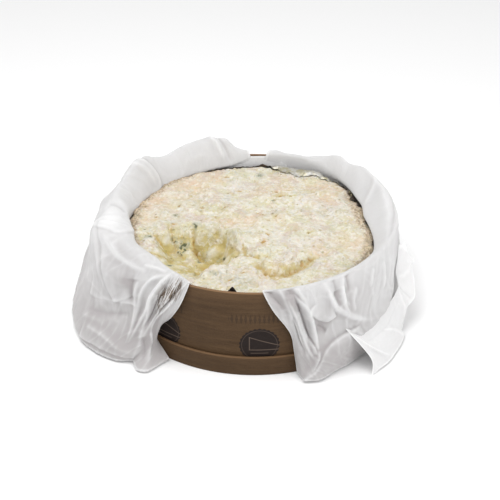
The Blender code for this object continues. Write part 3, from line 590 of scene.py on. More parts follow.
def set_uv(obj, uv):
    """Writes a UV map from one (u, v) for each point, in metres along the piece."""
    layer = obj.data.uv_layers.new(name="UVMap")
    corner = np.empty(len(obj.data.loops), np.int32)
    obj.data.loops.foreach_get("vertex_index", corner)
    layer.data.foreach_set("uv", uv.reshape(-1, 2)[corner].astype(np.float32).ravel())
    return layer


def thicken(obj, thickness):
    """Gives a surface its thickness, outwards."""
    skin = obj.modifiers.new("thickness", "SOLIDIFY")
    skin.thickness = thickness
    skin.offset = 1.0


def surface_normals(points):
    """The unit normal at each point of a grid: the cross product of its slopes across and down."""
    across, down = np.gradient(points, axis=1), np.gradient(points, axis=0)
    normal = np.cross(across, down)
    return normal / np.linalg.norm(normal, axis=2, keepdims=True)


def finish_piece(obj, material, node):
    """Gives a piece its material, hangs it from the root body and hides the node of the solids that it stands
    for.
    """
    obj.data.materials.append(material)
    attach(obj, "root")
    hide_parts(node)


# Node building.

GROUPS = {}


class Value:
    """What a node puts out, to reckon with as with a number: each sum, difference, product, quotient
    or size adds a Math node to its tree."""

    def __init__(self, tree, socket):
        self.tree = tree
        self.socket = socket

    def __add__(self, other):
        return self.tree.math("ADD", self, other)

    def __sub__(self, other):
        return self.tree.math("SUBTRACT", self, other)

    def __rsub__(self, other):
        return self.tree.math("SUBTRACT", other, self)

    def __mul__(self, other):
        return self.tree.math("MULTIPLY", self, other)

    def __truediv__(self, other):
        return self.tree.math("DIVIDE", self, other)

    def __rtruediv__(self, other):
        return self.tree.math("DIVIDE", other, self)

    def __abs__(self):
        return self.tree.math("ABSOLUTE", self)

    def between(self, low, high, to_low=0.0, to_high=1.0):
        """The value eased from low..high to another range, and held there."""
        return self.tree.add("ShaderNodeMapRange", {"Value": self, "From Min": low, "From Max": high,
                                                    "To Min": to_low, "To Max": to_high},
                             interpolation_type="SMOOTHSTEP")[0]


class NodeTree:
    """Adds nodes to a tree. Each input is given a Value to link or a constant to set."""

    def __init__(self, tree):
        self.tree = tree

    def fill(self, node, inputs):
        """Links or sets the named inputs of a node."""
        for key, value in inputs.items():
            socket = node.inputs[key]
            if isinstance(value, Value):
                self.tree.links.new(value.socket, socket)
            else:
                socket.default_value = (*value, 1.0) if socket.type == "RGBA" else value

    def outputs(self, node):
        """What a node puts out, by number and by name."""
        values = {}
        for number, socket in enumerate(node.outputs):
            values[number] = values[socket.name] = Value(self, socket)
        return values

    def add(self, kind, inputs, **settings):
        """What a new node puts out."""
        node = self.tree.nodes.new(kind)
        for key, value in settings.items():
            setattr(node, key, value)
        self.fill(node, inputs)
        return self.outputs(node)

    def math(self, operation, *values, clamp=False):
        """One Math node."""
        return self.add("ShaderNodeMath", dict(enumerate(values)), operation=operation, use_clamp=clamp)[0]

    def greatest(self, first, *others):
        """The greatest of its values."""
        for other in others:
            first = self.math("MAXIMUM", first, other)
        return first

    def mix(self, share, first, second):
        """The first colour with a share of the second."""
        return self.add("ShaderNodeMix", {0: share, 6: first, 7: second}, data_type="RGBA")[2]

    def paint(self, colour, coats):
        """Coats over a colour, one after another, each with the share of it that it covers."""
        for tint, share in coats:
            colour = self.mix(share, colour, tint)
        return colour

    def bump(self, height, depth, **more):
        """A normal tilted by a height."""
        return self.add("ShaderNodeBump", {"Height": height, "Strength": 1.0, "Distance": depth, **more})[0]

    def noise(self, place, scale, detail, roughness=0.5):
        """Noise from 0 to 1."""
        return self.add("ShaderNodeTexNoise", {"Vector": place, "Scale": scale, "Detail": detail,
                                               "Roughness": roughness})[0]

    def split(self, place):
        """The X, Y and Z of a place."""
        return self.add("ShaderNodeSeparateXYZ", {"Vector": place})

    def turned(self, place, angle, stretch):
        """The place with its Y scaled by a share, then turned round Z."""
        return self.add("ShaderNodeMapping", {"Vector": place, "Rotation": (0.0, 0.0, angle),
                                              "Scale": (1.0, stretch, 1.0)})[0]

    def attribute(self, name):
        """A number stored for each point of the mesh."""
        return self.add("ShaderNodeAttribute", {}, attribute_name=name)["Fac"]

    def group(self, name, place, **inputs):
        """What a shared group puts out."""
        return self.add("ShaderNodeGroup", {"Place": place, **inputs}, node_tree=GROUPS[name])

    def patches(self, place, size, level, softness, seed, detail=4.0):
        """The mask of the blotches group."""
        return self.group("blotches", place, Size=size, Level=level, Softness=softness, Seed=seed,
                          Detail=detail)[0]


def new_group(name, inputs, outputs):
    """An empty shared group that is given a place and named numbers and puts out named numbers."""
    group = GROUPS[name] = bpy.data.node_groups.new(name, "ShaderNodeTree")
    group.interface.new_socket(name="Place", in_out="INPUT", socket_type="NodeSocketVector")
    for label, value in inputs.items():
        socket = group.interface.new_socket(name=label, in_out="INPUT", socket_type="NodeSocketFloat")
        socket.default_value = value
    for label in outputs:
        group.interface.new_socket(name=label, in_out="OUTPUT", socket_type="NodeSocketFloat")
    tree = NodeTree(group)
    return tree, tree.add("NodeGroupInput", {}), group.nodes.new("NodeGroupOutput")


def blotch_group():
    """Soft-edged patches: noise of a given size, cut at a level."""
    tree, given, out = new_group(
        "blotches", {"Size": 0.02, "Level": 0.55, "Softness": 0.08, "Detail": 4.0, "Seed": 0.0}, ["Mask"])
    waves = tree.add("ShaderNodeTexNoise", {
        "Vector": given["Place"], "W": given["Seed"], "Scale": 1.0 / given["Size"],
        "Detail": given["Detail"], "Roughness": 0.6}, noise_dimensions="4D")[0]
    level, softness = given["Level"], given["Softness"]
    tree.fill(out, {"Mask": waves.between(level - softness, level + softness)})


def speck_group():
    """Small round specks: a share of randomly placed dots, with ragged edges."""
    tree, given, out = new_group(
        "specks", {"Spacing": 0.006, "Radius": 0.25, "Share": 0.4, "Ragged": 0.3}, ["Mask"])
    scale = 1.0 / given["Spacing"]
    waves = tree.noise(given["Place"], scale * 3.0, 2.0)
    dots = tree.add("ShaderNodeTexVoronoi", {"Vector": given["Place"], "Scale": scale, "Randomness": 1.0})
    pick = tree.add("ShaderNodeSeparateColor", {"Color": dots["Color"]})[0]
    distance = dots["Distance"] + (waves - 0.5) * given["Ragged"]
    dot = distance.between(given["Radius"], given["Radius"] * 0.55)
    chosen = tree.math("LESS_THAN", pick, given["Share"])
    tree.fill(out, {"Mask": dot * chosen})


def grain_group():
    """Wood grain that runs along U: long streaks and short dark pores, from noise stretched along U."""
    tree, given, out = new_group("grain", {"Streak": 0.0016, "Stretch": 40.0}, ["Streaks", "Pores", "Height"])
    place = tree.split(given["Place"])
    run = place["X"] / given["Stretch"]
    narrow = tree.add("ShaderNodeCombineXYZ", {"X": run, "Y": place["Y"], "Z": place["Z"]})[0]
    scale = 1.0 / given["Streak"]
    wide = tree.noise(narrow, scale * 0.25, 3.0)
    fine = tree.noise(narrow, scale, 3.0, 0.7)
    pores = fine.between(0.56, 0.66)
    streaks = wide * 0.5 + fine * 0.5
    tree.fill(out, {"Streaks": streaks, "Pores": pores, "Height": streaks - pores * 0.4})


def weave_group():
    """Plain weave in UV metres: two sets of threads as waves, each over and under the other."""
    tree, given, out = new_group("weave", {"Thread": 0.0007}, ["Height", "Slub"])
    place = tree.split(given["Place"])
    turns = math.pi / given["Thread"]
    threads = [abs(tree.math("SINE", place[axis] * turns)) for axis in ("X", "Y")]
    tree.fill(out, {"Height": tree.greatest(*threads), "Slub": tree.noise(given["Place"], 260.0, 2.0)})


# The plain print: round badges with wavy edges, a thin ring and a plain wedge inside, at even
# steps round the wall, and a faint row of narrow lozenges over each.
BADGE_COUNT = 9
BADGE_PITCH = 2 * math.pi * BOX_RADIUS / BADGE_COUNT
BADGE_START = 0.0052
BADGE_HEIGHT = 0.0354
BADGE_RADIUS = 0.0205
BADGE_WAVES = 26.0
WAVE_DEPTH = 0.022
RING_REACH = 0.88
WEDGE_SLOPE, WEDGE_UPPER, WEDGE_LOWER, WEDGE_LEFT = 0.36, 0.30, -0.28, 0.50
BAR_LEVEL = 0.48
LOZENGE_HEIGHT = 0.0672
LOZENGE_PITCH = 0.0046
LOZENGE_SIZE = (0.0016, 0.0066)
LOZENGE_ROW = (-0.0025, 0.029)


def print_group():
    """The print on the wall, in UV metres: the ink, and the pale marks left bare inside it. Each
    shape is a distance, cut between two levels; inside a badge, lengths are shares of its radius."""
    tree, given, out = new_group("print", {}, ["Ink", "Bare"])
    place = tree.split(given["Place"])
    along = tree.math("WRAP", place["X"] - BADGE_START, BADGE_PITCH / 2, -BADGE_PITCH / 2)
    x = along / BADGE_RADIUS
    y = (place["Y"] - BADGE_HEIGHT) / BADGE_RADIUS
    reach = tree.math("SQRT", x * x + y * y)
    wave = tree.math("COSINE", tree.math("ARCTAN2", y, x) * BADGE_WAVES) * WAVE_DEPTH
    badge = (reach + wave).between(1.005, 0.975)
    ring = abs(reach - RING_REACH).between(0.022, 0.008)
    wedge = tree.greatest(y + x * WEDGE_SLOPE - WEDGE_UPPER, WEDGE_LOWER - y, x * -1.0 - WEDGE_LEFT)
    outline = abs(wedge).between(0.034, 0.014)
    bar = abs(y + BAR_LEVEL).between(0.03, 0.012) * abs(x).between(0.46, 0.42)
    marks = tree.greatest(ring * 0.55, outline, bar * 0.8)
    row = tree.math("WRAP", along, LOZENGE_PITCH / 2, -LOZENGE_PITCH / 2)
    lozenge = abs(row) / LOZENGE_SIZE[0] + abs(place["Y"] - LOZENGE_HEIGHT) / LOZENGE_SIZE[1]
    here = tree.math("LESS_THAN", abs(along - LOZENGE_ROW[0]), LOZENGE_ROW[1])
    lozenges = lozenge.between(1.1, 0.8) * here * 0.42
    worn = tree.patches(given["Place"], 0.0014, 0.34, 0.10, 5.0).between(0.0, 1.0, 0.72, 0.95)
    tree.fill(out, {"Ink": tree.greatest(badge, lozenges) * worn, "Bare": marks * badge * 0.8})


# Materials.

def new_material(name, colour, roughness, **more):
    """A material with its Principled shader set, its tree to add nodes to, and that shader."""
    material = bpy.data.materials.new(name)
    material.use_nodes = True
    shader = material.node_tree.nodes["Principled BSDF"]
    tree = NodeTree(material.node_tree)
    tree.fill(shader, {"Base Color": colour, "Roughness": roughness, **more})
    return material, tree, shader


CREAM = (0.60, 0.565, 0.405)
ROSY_CURD = (0.575, 0.490, 0.420)
WHITE_CURD = (0.655, 0.63, 0.55)
BRIGHT_CURD = (0.755, 0.732, 0.66)
STRAW = (0.535, 0.450, 0.185)
GOLD = (0.47, 0.36, 0.100)
PORE = (0.43, 0.345, 0.16)
BLUSH = (0.64, 0.48, 0.335)
LILAC = (0.635, 0.60, 0.56)
AMBER = (0.42, 0.25, 0.06)
MOULD = (0.095, 0.105, 0.045)
GREY_MOULD = (0.40, 0.405, 0.30)
RIND = (0.30, 0.23, 0.15)
RIND_PALE = (0.55, 0.42, 0.275)


def cheese_material():
    """Cream curd, pinker and greyer in patches, with dark green veins and a speckled brown rind. Light and
    shade are painted in: a painted highlight in white on its bumps and on the lobes in the hollow,
    painted shade in straw in its dips and over the hollow, golden deeper down, round pits and along
    crevices, and brown-orange at the bottoms of pits and crevices."""
    material, tree, shader = new_material("soft_blue_cheese", CREAM, 0.5)
    place = tree.add("ShaderNodeTexCoord", {})["Object"]
    hollow, rind, pit, crest_highlight, gold_shade, amber_shade, mould, blush, lilac, pale = (tree.attribute(name) for name in (
        "hollow", "rind", "pit", "crest_highlight", "gold_shade", "amber_shade", "mould", "blush", "lilac", "pale"))

    def patches(size, level, softness, seed, detail=5.0):
        """The mask of the blotches group, in this material's place."""
        return tree.patches(place, size, level, softness, seed, detail)

    def specks(spacing, radius, share, ragged):
        """The mask of the specks group."""
        return tree.group("specks", place, Spacing=spacing, Radius=radius, Share=share, Ragged=ragged)[0]

    fine = patches(0.0030, 0.50, 0.10, 10.0)
    flecks = tree.math("ADD", specks(0.0048, 0.22, 0.35, 0.45) * 0.8, specks(0.0100, 0.17, 0.40, 0.50),
                       clamp=True)
    colour = tree.paint(CREAM, [
        (ROSY_CURD, patches(0.030, 0.50, 0.06, 1.5)),
        (WHITE_CURD, patches(0.013, 0.51, 0.03, 1.0, 6.0) * 0.80),
        (STRAW, patches(0.0075, 0.58, 0.025, 2.0) * 0.40),
        (BLUSH, blush * patches(0.007, 0.42, 0.10, 3.5) * 0.90),
        (LILAC, lilac * patches(0.009, 0.44, 0.10, 4.0) * 0.85),
        # painted shade: the hollow is painted straw, more strongly where it is deeper
        (STRAW, hollow * patches(0.012, 0.42, 0.12, 5.0, 4.0) * 0.85),
        # painted highlight: lobes standing above the broad relief in the hollow are painted paler
        (WHITE_CURD, pale * 0.9),
        # painted shade: golden where the hollow is deep, along crevices and round pits
        (GOLD, gold_shade * 0.85),
        # painted shade: small dips below their neighbours are painted straw
        (STRAW, pit * 0.75),
        (BRIGHT_CURD, patches(0.0060, 0.57, 0.02, 2.5, 4.0) * 0.50),
        # painted highlight: bumps above the mean of their neighbours are painted bright curd
        (BRIGHT_CURD, crest_highlight * (fine * 0.5 + 0.35) * (1.0 - gold_shade * 0.7)),
        (PORE, flecks * 0.65),
        (GREY_MOULD, patches(0.020, 0.56, 0.04, 6.0) * patches(0.0030, 0.50, 0.05, 6.5) * 0.30),
        (GREY_MOULD, mould.between(0.10, 0.60) * patches(0.0050, 0.47, 0.08, 7.0) * 0.75),
        (MOULD, mould.between(0.25, 0.70) * patches(0.0045, 0.53, 0.03, 7.5, 7.0)),
        (MOULD, specks(0.010, 0.11, 0.16, 0.3) * 0.5),
        # painted shade: the bottoms of pits and crevices are painted brown-orange
        (AMBER, amber_shade * 0.85),
        (RIND_PALE, rind * patches(0.006, 0.40, 0.12, 8.5) * 0.7),
        (RIND, rind * patches(0.0026, 0.51, 0.05, 8.0, 3.0) * 0.9)])
    height = tree.noise(place, 230.0, 6.0, 0.62) - flecks * 0.45 + fine * 0.15
    tree.fill(shader, {
        "Base Color": colour, "Normal": tree.bump(height, 0.0018),
        "Roughness": patches(0.010, 0.5, 0.2, 9.0).between(0.0, 1.0, 0.42, 0.62),
        "Subsurface Weight": 0.25, "Subsurface Radius": (1.0, 0.7, 0.4), "Subsurface Scale": 0.002})
    return material


WOOD = (0.080, 0.047, 0.024)
WOOD_DARK = (0.046, 0.024, 0.010)
WOOD_LIGHT = (0.112, 0.067, 0.034)
WOOD_EDGE = (0.205, 0.120, 0.062)
INK = (0.014, 0.0095, 0.009)
BARE_MARK = (0.125, 0.092, 0.072)


def wood_material(name, printed):
    """Bare brown veneer with fine specks, its grain running round the hoop, with paler cut edges.
    The printed one has a plain dark print; the other is a little darker all over, painted shade for
    the lower hoop that stands by the bright floor."""
    material, tree, shader = new_material(name, WOOD, 0.6)
    place = tree.add("ShaderNodeUVMap", {})[0]
    grain = tree.group("grain", place, Streak=0.0011, Stretch=14.0)
    coats = [(WOOD_LIGHT, grain["Streaks"].between(0.25, 0.75)),
             (WOOD_DARK, grain["Pores"] * 0.45),
             (WOOD_LIGHT, tree.patches(place, 0.0016, 0.5, 0.12, 3.0) * 0.28),
             (WOOD_DARK, tree.patches(place, 0.045, 0.5, 0.15, 6.0) * 0.30),
             (WOOD_EDGE, tree.attribute("cut_edge"))]
    if printed:
        marks = tree.group("print", place)
        coats += [(INK, marks["Ink"]), (BARE_MARK, marks["Bare"])]
    else:
        # painted shade: the unprinted wood is darkened all over
        coats += [(WOOD_DARK, 0.30)]
    tree.fill(shader, {
        "Base Color": tree.paint(WOOD_DARK, coats), "Normal": tree.bump(grain["Height"], 0.0004),
        "Roughness": grain["Streaks"].between(0.3, 0.7, 0.52, 0.7), "Specular IOR Level": 0.15})
    return material


# Muslin colours: plain; darker for thin places and painted shade; brighter for doubled places and painted
# highlight; and the brown seen through it.
MUSLIN = (0.80, 0.795, 0.795)
MUSLIN_THIN_SHADED = (0.56, 0.53, 0.53)
MUSLIN_DOUBLE_LIT = (0.92, 0.92, 0.92)
STAIN = (0.23, 0.17, 0.12)


def muslin_material():
    """Thin white plain weave, a little see-through, creased finely, with brown lace-like marks
    where it lies thin over its folds. Light and shade are painted in: brighter and more opaque on its
    ridges and where doubled, a painted highlight, and darker and clearer in its valleys and low down,
    painted shade."""
    material, tree, shader = new_material("white_muslin", MUSLIN, 0.85)
    place = tree.add("ShaderNodeUVMap", {})[0]
    weave = tree.group("weave", place, Thread=0.0007)
    stain, thin, thick_and_lit = (tree.attribute(name) for name in ("stain", "thin", "thick_and_lit"))
    down, cross = tree.turned(place, 0.35, 0.25), tree.turned(place, -0.9, 0.35)
    streaks = tree.patches(down, 0.0030, 0.50, 0.06, 2.0)
    # painted highlight and painted shade: brighter on ridges and where doubled, darker in valleys
    colour = tree.paint(MUSLIN, [(MUSLIN_DOUBLE_LIT, thick_and_lit.between(0.5, 1.0)),
                                 (MUSLIN_THIN_SHADED, thick_and_lit.between(0.5, 0.0)),
                                 (MUSLIN_THIN_SHADED, weave["Slub"] * 0.15),
                                 (STAIN, stain * streaks)])
    clear = thin * streaks.between(0.0, 1.0, 0.10, 0.35)
    valleys = abs(tree.noise(down, 150.0, 3.0, 0.55) - 0.5) + abs(tree.noise(cross, 95.0, 3.0, 0.55) - 0.5)
    creased = tree.bump(valleys * -1.0, 0.0010)
    tree.fill(shader, {
        "Base Color": colour, "Alpha": thick_and_lit.between(0.0, 1.0, 0.60, 0.92) - clear,
        "Normal": tree.bump(weave["Height"], 0.00010, Normal=creased),
        "Sheen Weight": 0.15, "Sheen Roughness": 0.5,
        "Subsurface Weight": 0.4, "Subsurface Radius": (1.0, 1.0, 1.0), "Subsurface Scale": 0.003})
    return material


FOIL = (0.52, 0.49, 0.43)
# The foil's painted shade, in two tones, and its painted glints of reflected light.
FOIL_SHADE, FOIL_BROWN, FOIL_GLINT = (0.050, 0.038, 0.040), (0.14, 0.11, 0.085), (0.55, 0.49, 0.25)
SILVER, SILVER_DULL = (0.47, 0.46, 0.43), (0.36, 0.33, 0.22)


def foil_material():
    """Thin foil, silver where it lies on top; where it stands in the gap round the cheese it is painted
    dark, painted shade in two brown tones, with painted glints of yellow reflected light.
    """
    material, tree, shader = new_material("crumpled_foil", FOIL, 0.38, Metallic=0.45)
    place = tree.add("ShaderNodeTexCoord", {})["Object"]
    tint = tree.patches(place, 0.006, 0.5, 0.12, 4.0)
    glint = tree.patches(place, 0.0045, 0.64, 0.03, 8.0)
    # painted shade with painted glints
    dark = tree.paint(FOIL_SHADE, [(FOIL_BROWN, tint), (FOIL_GLINT, glint)])
    silver = tree.mix(tint, SILVER, SILVER_DULL)
    creases = tree.add("ShaderNodeTexVoronoi", {"Vector": place, "Scale": 95.0}, feature="F2")["Distance"]
    tree.fill(shader, {"Base Color": tree.mix(tree.attribute("silver"), dark, silver),
                       "Normal": tree.bump(creases, 0.0012)})
    return material


# The cheese.

def crags(x, y):
    """Gentle uneven relief: the sum of a few sine waves in seeded directions."""
    draw = np.random.default_rng(CRAG_SEED)
    total = np.zeros(x.shape)
    for _ in range(CRAG_WAVES):
        length = draw.uniform(*CRAG_LENGTHS)
        angle, phase = draw.uniform(0, 2 * math.pi, 2)
        total += np.sin(2 * math.pi / length * (x * math.cos(angle) + y * math.sin(angle)) + phase)
    return CRAG_HEIGHT * total / math.sqrt(CRAG_WAVES)


def dimple(x, y, middle, radius, depth):
    """A round dip, as deep as it says at its middle."""
    reach = radius * math.sqrt(0.5)
    return depth * bell(x, y, middle, reach, reach)


def scoop(x, y):
    """The depth of the scooped hollow: steep at the back, opening gently to the front left."""
    dx, dy = x - SCOOP_MIDDLE[0], y - SCOOP_MIDDLE[1]
    angle = np.degrees(np.arctan2(dy, dx)) % 360
    reach, = smooth_guide(angle, SCOOP_REACH)
    wall, = smooth_guide(angle, SCOOP_WALL)
    share = np.clip((np.hypot(dx, dy) / (MM * reach) - 1 + wall) / wall, 0, 1)
    straight = smoothstep(0.65, 0.9, wall)
    depth = SCOOP_DEPTH * (1 - share * straight - smoothstep(0, 1, share) * (1 - straight))
    for lump in SCOOP_LUMPS:
        depth = depth - np.minimum(depth, dimple(x, y, *lump))
    return depth


def ledge(x, y):
    """The torn ledge: a trough along its line, fading at both ends."""
    distance, along, _ = distance_to_line(x, y, LEDGE_LINE)
    fade = np.sin(math.pi * np.clip(along, 0.06, 0.94))
    return LEDGE_DEPTH * falloff(distance, LEDGE_WIDTH)**2 * fade


def edge_reach(x, y):
    """The radius of the top's outline in the direction of each point, made ragged by noise."""
    azimuth = azimuth_of(x, y)
    reach, = smooth_guide(azimuth, EDGE_REACH)
    around = np.moveaxis(from_azimuth(azimuth, 0.13, 0.0), -1, 0)
    ragged = layered_noise(*around, RAGGED_SIZES[0], 2, 21) + 0.45 * noise(*around, RAGGED_SIZES[1], 27)
    return MM * reach + EDGE_RAGGED * ragged


def shoulder_reach(x, y):
    """The radius of the shoulder in the direction of each point."""
    edge = edge_reach(x, y)
    return edge + SHOULDER_OUT * (CHEESE_RADIUS * SIDE_OUT - edge)


def warped(x, y, octaves):
    """The place with a wandering shift of a few millimetres, so that edges drawn over it look torn."""
    shift_x, shift_y = (layered_noise(x, y, 0 * x, TEAR_SIZE, octaves, seed, 0.6) for seed in (31, 41))
    return x + TEAR_SHIFT * shift_x, y + TEAR_SHIFT * shift_y


def amber_distances(x, y):
    """The distance from each point to each amber pit, which is drawn out sideways, one at a time."""
    return (np.hypot((x - px) * 0.7, y - py) for px, py in AMBER_PITS)


def terraces(height, step):
    """A height cut into steps with short steep fronts, as curd breaks."""
    level = np.floor(height / step)
    return step * (level + smoothstep(0.30, 0.70, height / step - level))


def cheese_top(x, y):
    """The height of the top before it is roughened: crags, less the hollow, the ledge and the dips,
    then round lobes, crevices (troughs along lines) and small pits, and a fall at the edge."""
    soft_x, soft_y = warped(x, y, 2)
    near_x, near_y = warped(x, y, 4)
    relief = crags(x, y) - scoop(soft_x, soft_y) - ledge(near_x, near_y)
    for pit in PITS:
        relief = relief - dimple(x, y, *pit)
    lobes = 0 * x
    for middle, radius, height in LOBES:
        reach = np.hypot(soft_x - middle[0], soft_y - middle[1]) / radius
        lobes = np.maximum(lobes, height * np.clip(1 - reach**2, 0, 1)**0.7)
    relief = relief + lobes
    for line, width, depth in CREVICES:
        distance, _, _ = distance_to_line(near_x, near_y, line)
        relief = relief - depth * falloff(distance, width)
    for distance in amber_distances(near_x, near_y):
        relief = relief - AMBER_DEPTH * falloff(distance, AMBER_WIDTH)
    edge = np.hypot(x, y) / edge_reach(x, y)
    relief = relief * (1 - 0.55 * smoothstep(0.92, 1.0, edge))
    return CHEESE_TOP + relief - EDGE_FALL * smoothstep(0.955, 1.0, edge)**2


def roughness(x, y, z):
    """How far the curd stands out along its normal: torn steps of layered noise from 14 mm down to
    2 mm, crumbs (domes on random middles) and, in the hollow, smooth swirls."""
    wave = 0.003 * layered_noise(x, y, z, 0.010, 3, 35)
    torn = TORN_HEIGHT * layered_noise(x + wave, y - wave, z + wave, TORN_SIZE, 4, 71, 0.55)
    inside = smoothstep(CHEESE_TOP - HOLLOW_FROM, CHEESE_TOP - HOLLOW_FULL, z)
    rough = smoothstep(-0.5, 0.5, noise(x, y, z, 0.035, 61)) * (1 - 0.7 * inside)
    broken = bell(x, y, BROKEN_MIDDLE, BROKEN_REACH, BROKEN_REACH)
    stepped = 0.4 * torn + 0.6 * terraces(torn, TORN_STEP)
    lift = (0.45 + 0.35 * rough + 0.6 * broken) * (1 - 0.6 * inside) * stepped
    distance, mark = cells(x + wave, y + wave, z, CRUMB_SIZE, 51)
    crumbs = CRUMB_HEIGHT * (mark - 0.45) * (1 - smoothstep(0.2, 0.65, distance))
    swirl = 1 - np.abs(layered_noise(x, y, z, SWIRL_SIZE, 2, 91))
    return lift + (0.35 + 0.65 * rough) * crumbs + SWIRL_HEIGHT * inside * (swirl**2 - 0.5)


def cheese_masks(x, y, height, lift):
    """Where the curd is hollow, pitted, raised, golden, veined, pink, lilac or rind, each from 0 to 1.
    A pit or a raised bump lies below or above the mean of its neighbours. Pits, crevices, the bottoms
    of small pits and the deep parts of the hollow take painted shade; bumps and the lobes in the hollow
    take a painted highlight."""
    near = warped(x, y, 4)
    inside = smoothstep(0.06, 0.60, scoop(*near) / SCOOP_DEPTH)
    cavity = (spread(lift, 9) - lift) / FULL_PIT
    sunk = (spread(height, 60) - height) / FULL_DIP
    gold_shade, amber_shade = spots(*near, GOLD_SPOTS), 0 * x
    for line, width, _ in CREVICES:
        distance, _, _ = distance_to_line(*near, line)
        gold_shade = np.maximum(gold_shade, 0.8 * falloff(distance, width))
        amber_shade = np.maximum(amber_shade, 0.55 * falloff(distance, 0.35 * width))
    for distance in amber_distances(*near):
        amber_shade = np.maximum(amber_shade, 1 - smoothstep(*AMBER_EDGE, distance))
        gold_shade = np.maximum(gold_shade, 0.45 * falloff(distance, 2 * AMBER_WIDTH))
    start, strength = smooth_guide(azimuth_of(x, y), RIND_START)
    edge = np.hypot(x, y) / edge_reach(x, y) + 0.02 * noise(x, y, 0 * x, 0.008, 99)
    return {
        "hollow": inside,
        "pit": np.clip(cavity, 0, 1),
        "crest_highlight": np.clip(-cavity, 0, 1) * (1 - 0.6 * inside),
        "gold_shade": np.maximum(gold_shade, 0.75 * inside * np.clip(sunk, 0, 1)),
        "pale": inside * np.clip(-sunk, 0, 1),
        "amber_shade": amber_shade,
        "mould": spots(*near, MOULD_SPOTS),
        "blush": spots(*near, BLUSH_PATCHES),
        "lilac": spots(*near, LILAC_PATCHES),
        "rind": strength * smoothstep(start, start + 0.05, edge),
    }


def disc_grid(count):
    """A square grid bent to a disc: rings of the square become circles of the same reach."""
    line = np.linspace(-1, 1, count)
    a, b = np.meshgrid(line, line)
    wide = np.abs(a) > np.abs(b)
    safe_a, safe_b = np.where(wide, a, 1.0), np.where(wide | (b == 0), 1.0, b)
    reach = np.where(wide, a, b)
    angle = np.where(wide, math.pi / 4 * b / safe_a, math.pi / 2 - math.pi / 4 * a / safe_b)
    return reach * np.cos(angle), reach * np.sin(angle)


def cheese_side(rim, edge, shoulder):
    """Rings down the side below the rim's points, each with its share of the profile's radius and
    of the height, and a little worn."""
    direction = rim[:, :2] / np.linalg.norm(rim[:, :2], axis=1, keepdims=True)
    rings = []
    for up in CHEESE_SIDE_ROWS:
        if up >= SHOULDER_UP:
            radius = edge + (shoulder - edge) * (1 - up) / (1 - SHOULDER_UP)
        elif up > SIDE_UP:
            share = (up - SIDE_UP) / (SHOULDER_UP - SIDE_UP)
            radius = CHEESE_RADIUS * SIDE_OUT * (1 - share) + shoulder * share
        else:
            wide, = smooth_guide(np.array([up]), CHEESE_SIDE)
            radius = CHEESE_RADIUS * wide + 0 * edge
        level = CHEESE_BOTTOM + (rim[:, 2] - CHEESE_BOTTOM) * up
        worn = 0.0012 * noise(direction[:, 0] * radius, direction[:, 1] * radius, level, 0.006, 15)
        ring = direction * (radius - 0.0003 + np.minimum(worn, 0))[:, None]
        rings.append(np.concatenate([ring, level[:, None]], 1))
    return rings


def make_cheese():
    """The top is a disc grid at the relief's height, roughened along its normals; the side follows
    the profile down; the bottom is a fan. One closed mesh."""
    unit_x, unit_y = disc_grid(CHEESE_GRID)
    reach = edge_reach(unit_x, unit_y)
    x, y = unit_x * reach, unit_y * reach
    height = cheese_top(x, y)
    form = np.stack([x, y, height], -1)
    out = np.maximum(np.abs(unit_x), np.hypot(unit_x, unit_y))
    lift = roughness(x, y, height) * (1 - 0.5 * smoothstep(0.93, 1.0, out))
    normal = surface_normals(form)
    form = form + np.where(normal[..., 2:] < 0, -normal, normal) * lift[..., None]
    n = CHEESE_GRID
    index = np.arange(n * n).reshape(n, n)
    above = np.concatenate([index[0, :-1], index[:-1, -1], index[-1, :0:-1], index[:0:-1, 0]])
    top = form.reshape(-1, 3)
    rim = top[above]
    rings = cheese_side(rim, edge_reach(rim[:, 0], rim[:, 1]), shoulder_reach(rim[:, 0], rim[:, 1]))
    points = np.concatenate([top, *rings, [[0.0, 0.0, CHEESE_BOTTOM]]])
    faces = grid_faces(n, n).tolist()
    for row in range(len(rings)):
        below = n * n + row * len(rim) + np.arange(len(rim))
        faces += np.stack([above, below, np.roll(below, -1), np.roll(above, -1)], 1).tolist()
        above = below
    last = np.full(len(rim), len(points) - 1)
    faces += np.stack([above, last, np.roll(above, -1)], 1).tolist()
    obj = add_mesh("soft_cheese", points, faces)
    for name, values in cheese_masks(x, y, height, lift).items():
        below_top = np.full(len(points) - len(top), 1.0 if name == "rind" else 0.0)
        set_attribute(obj, name, np.concatenate([values.ravel(), below_top]))
    finish_piece(obj, cheese_material(), "cheese")


# The foil.

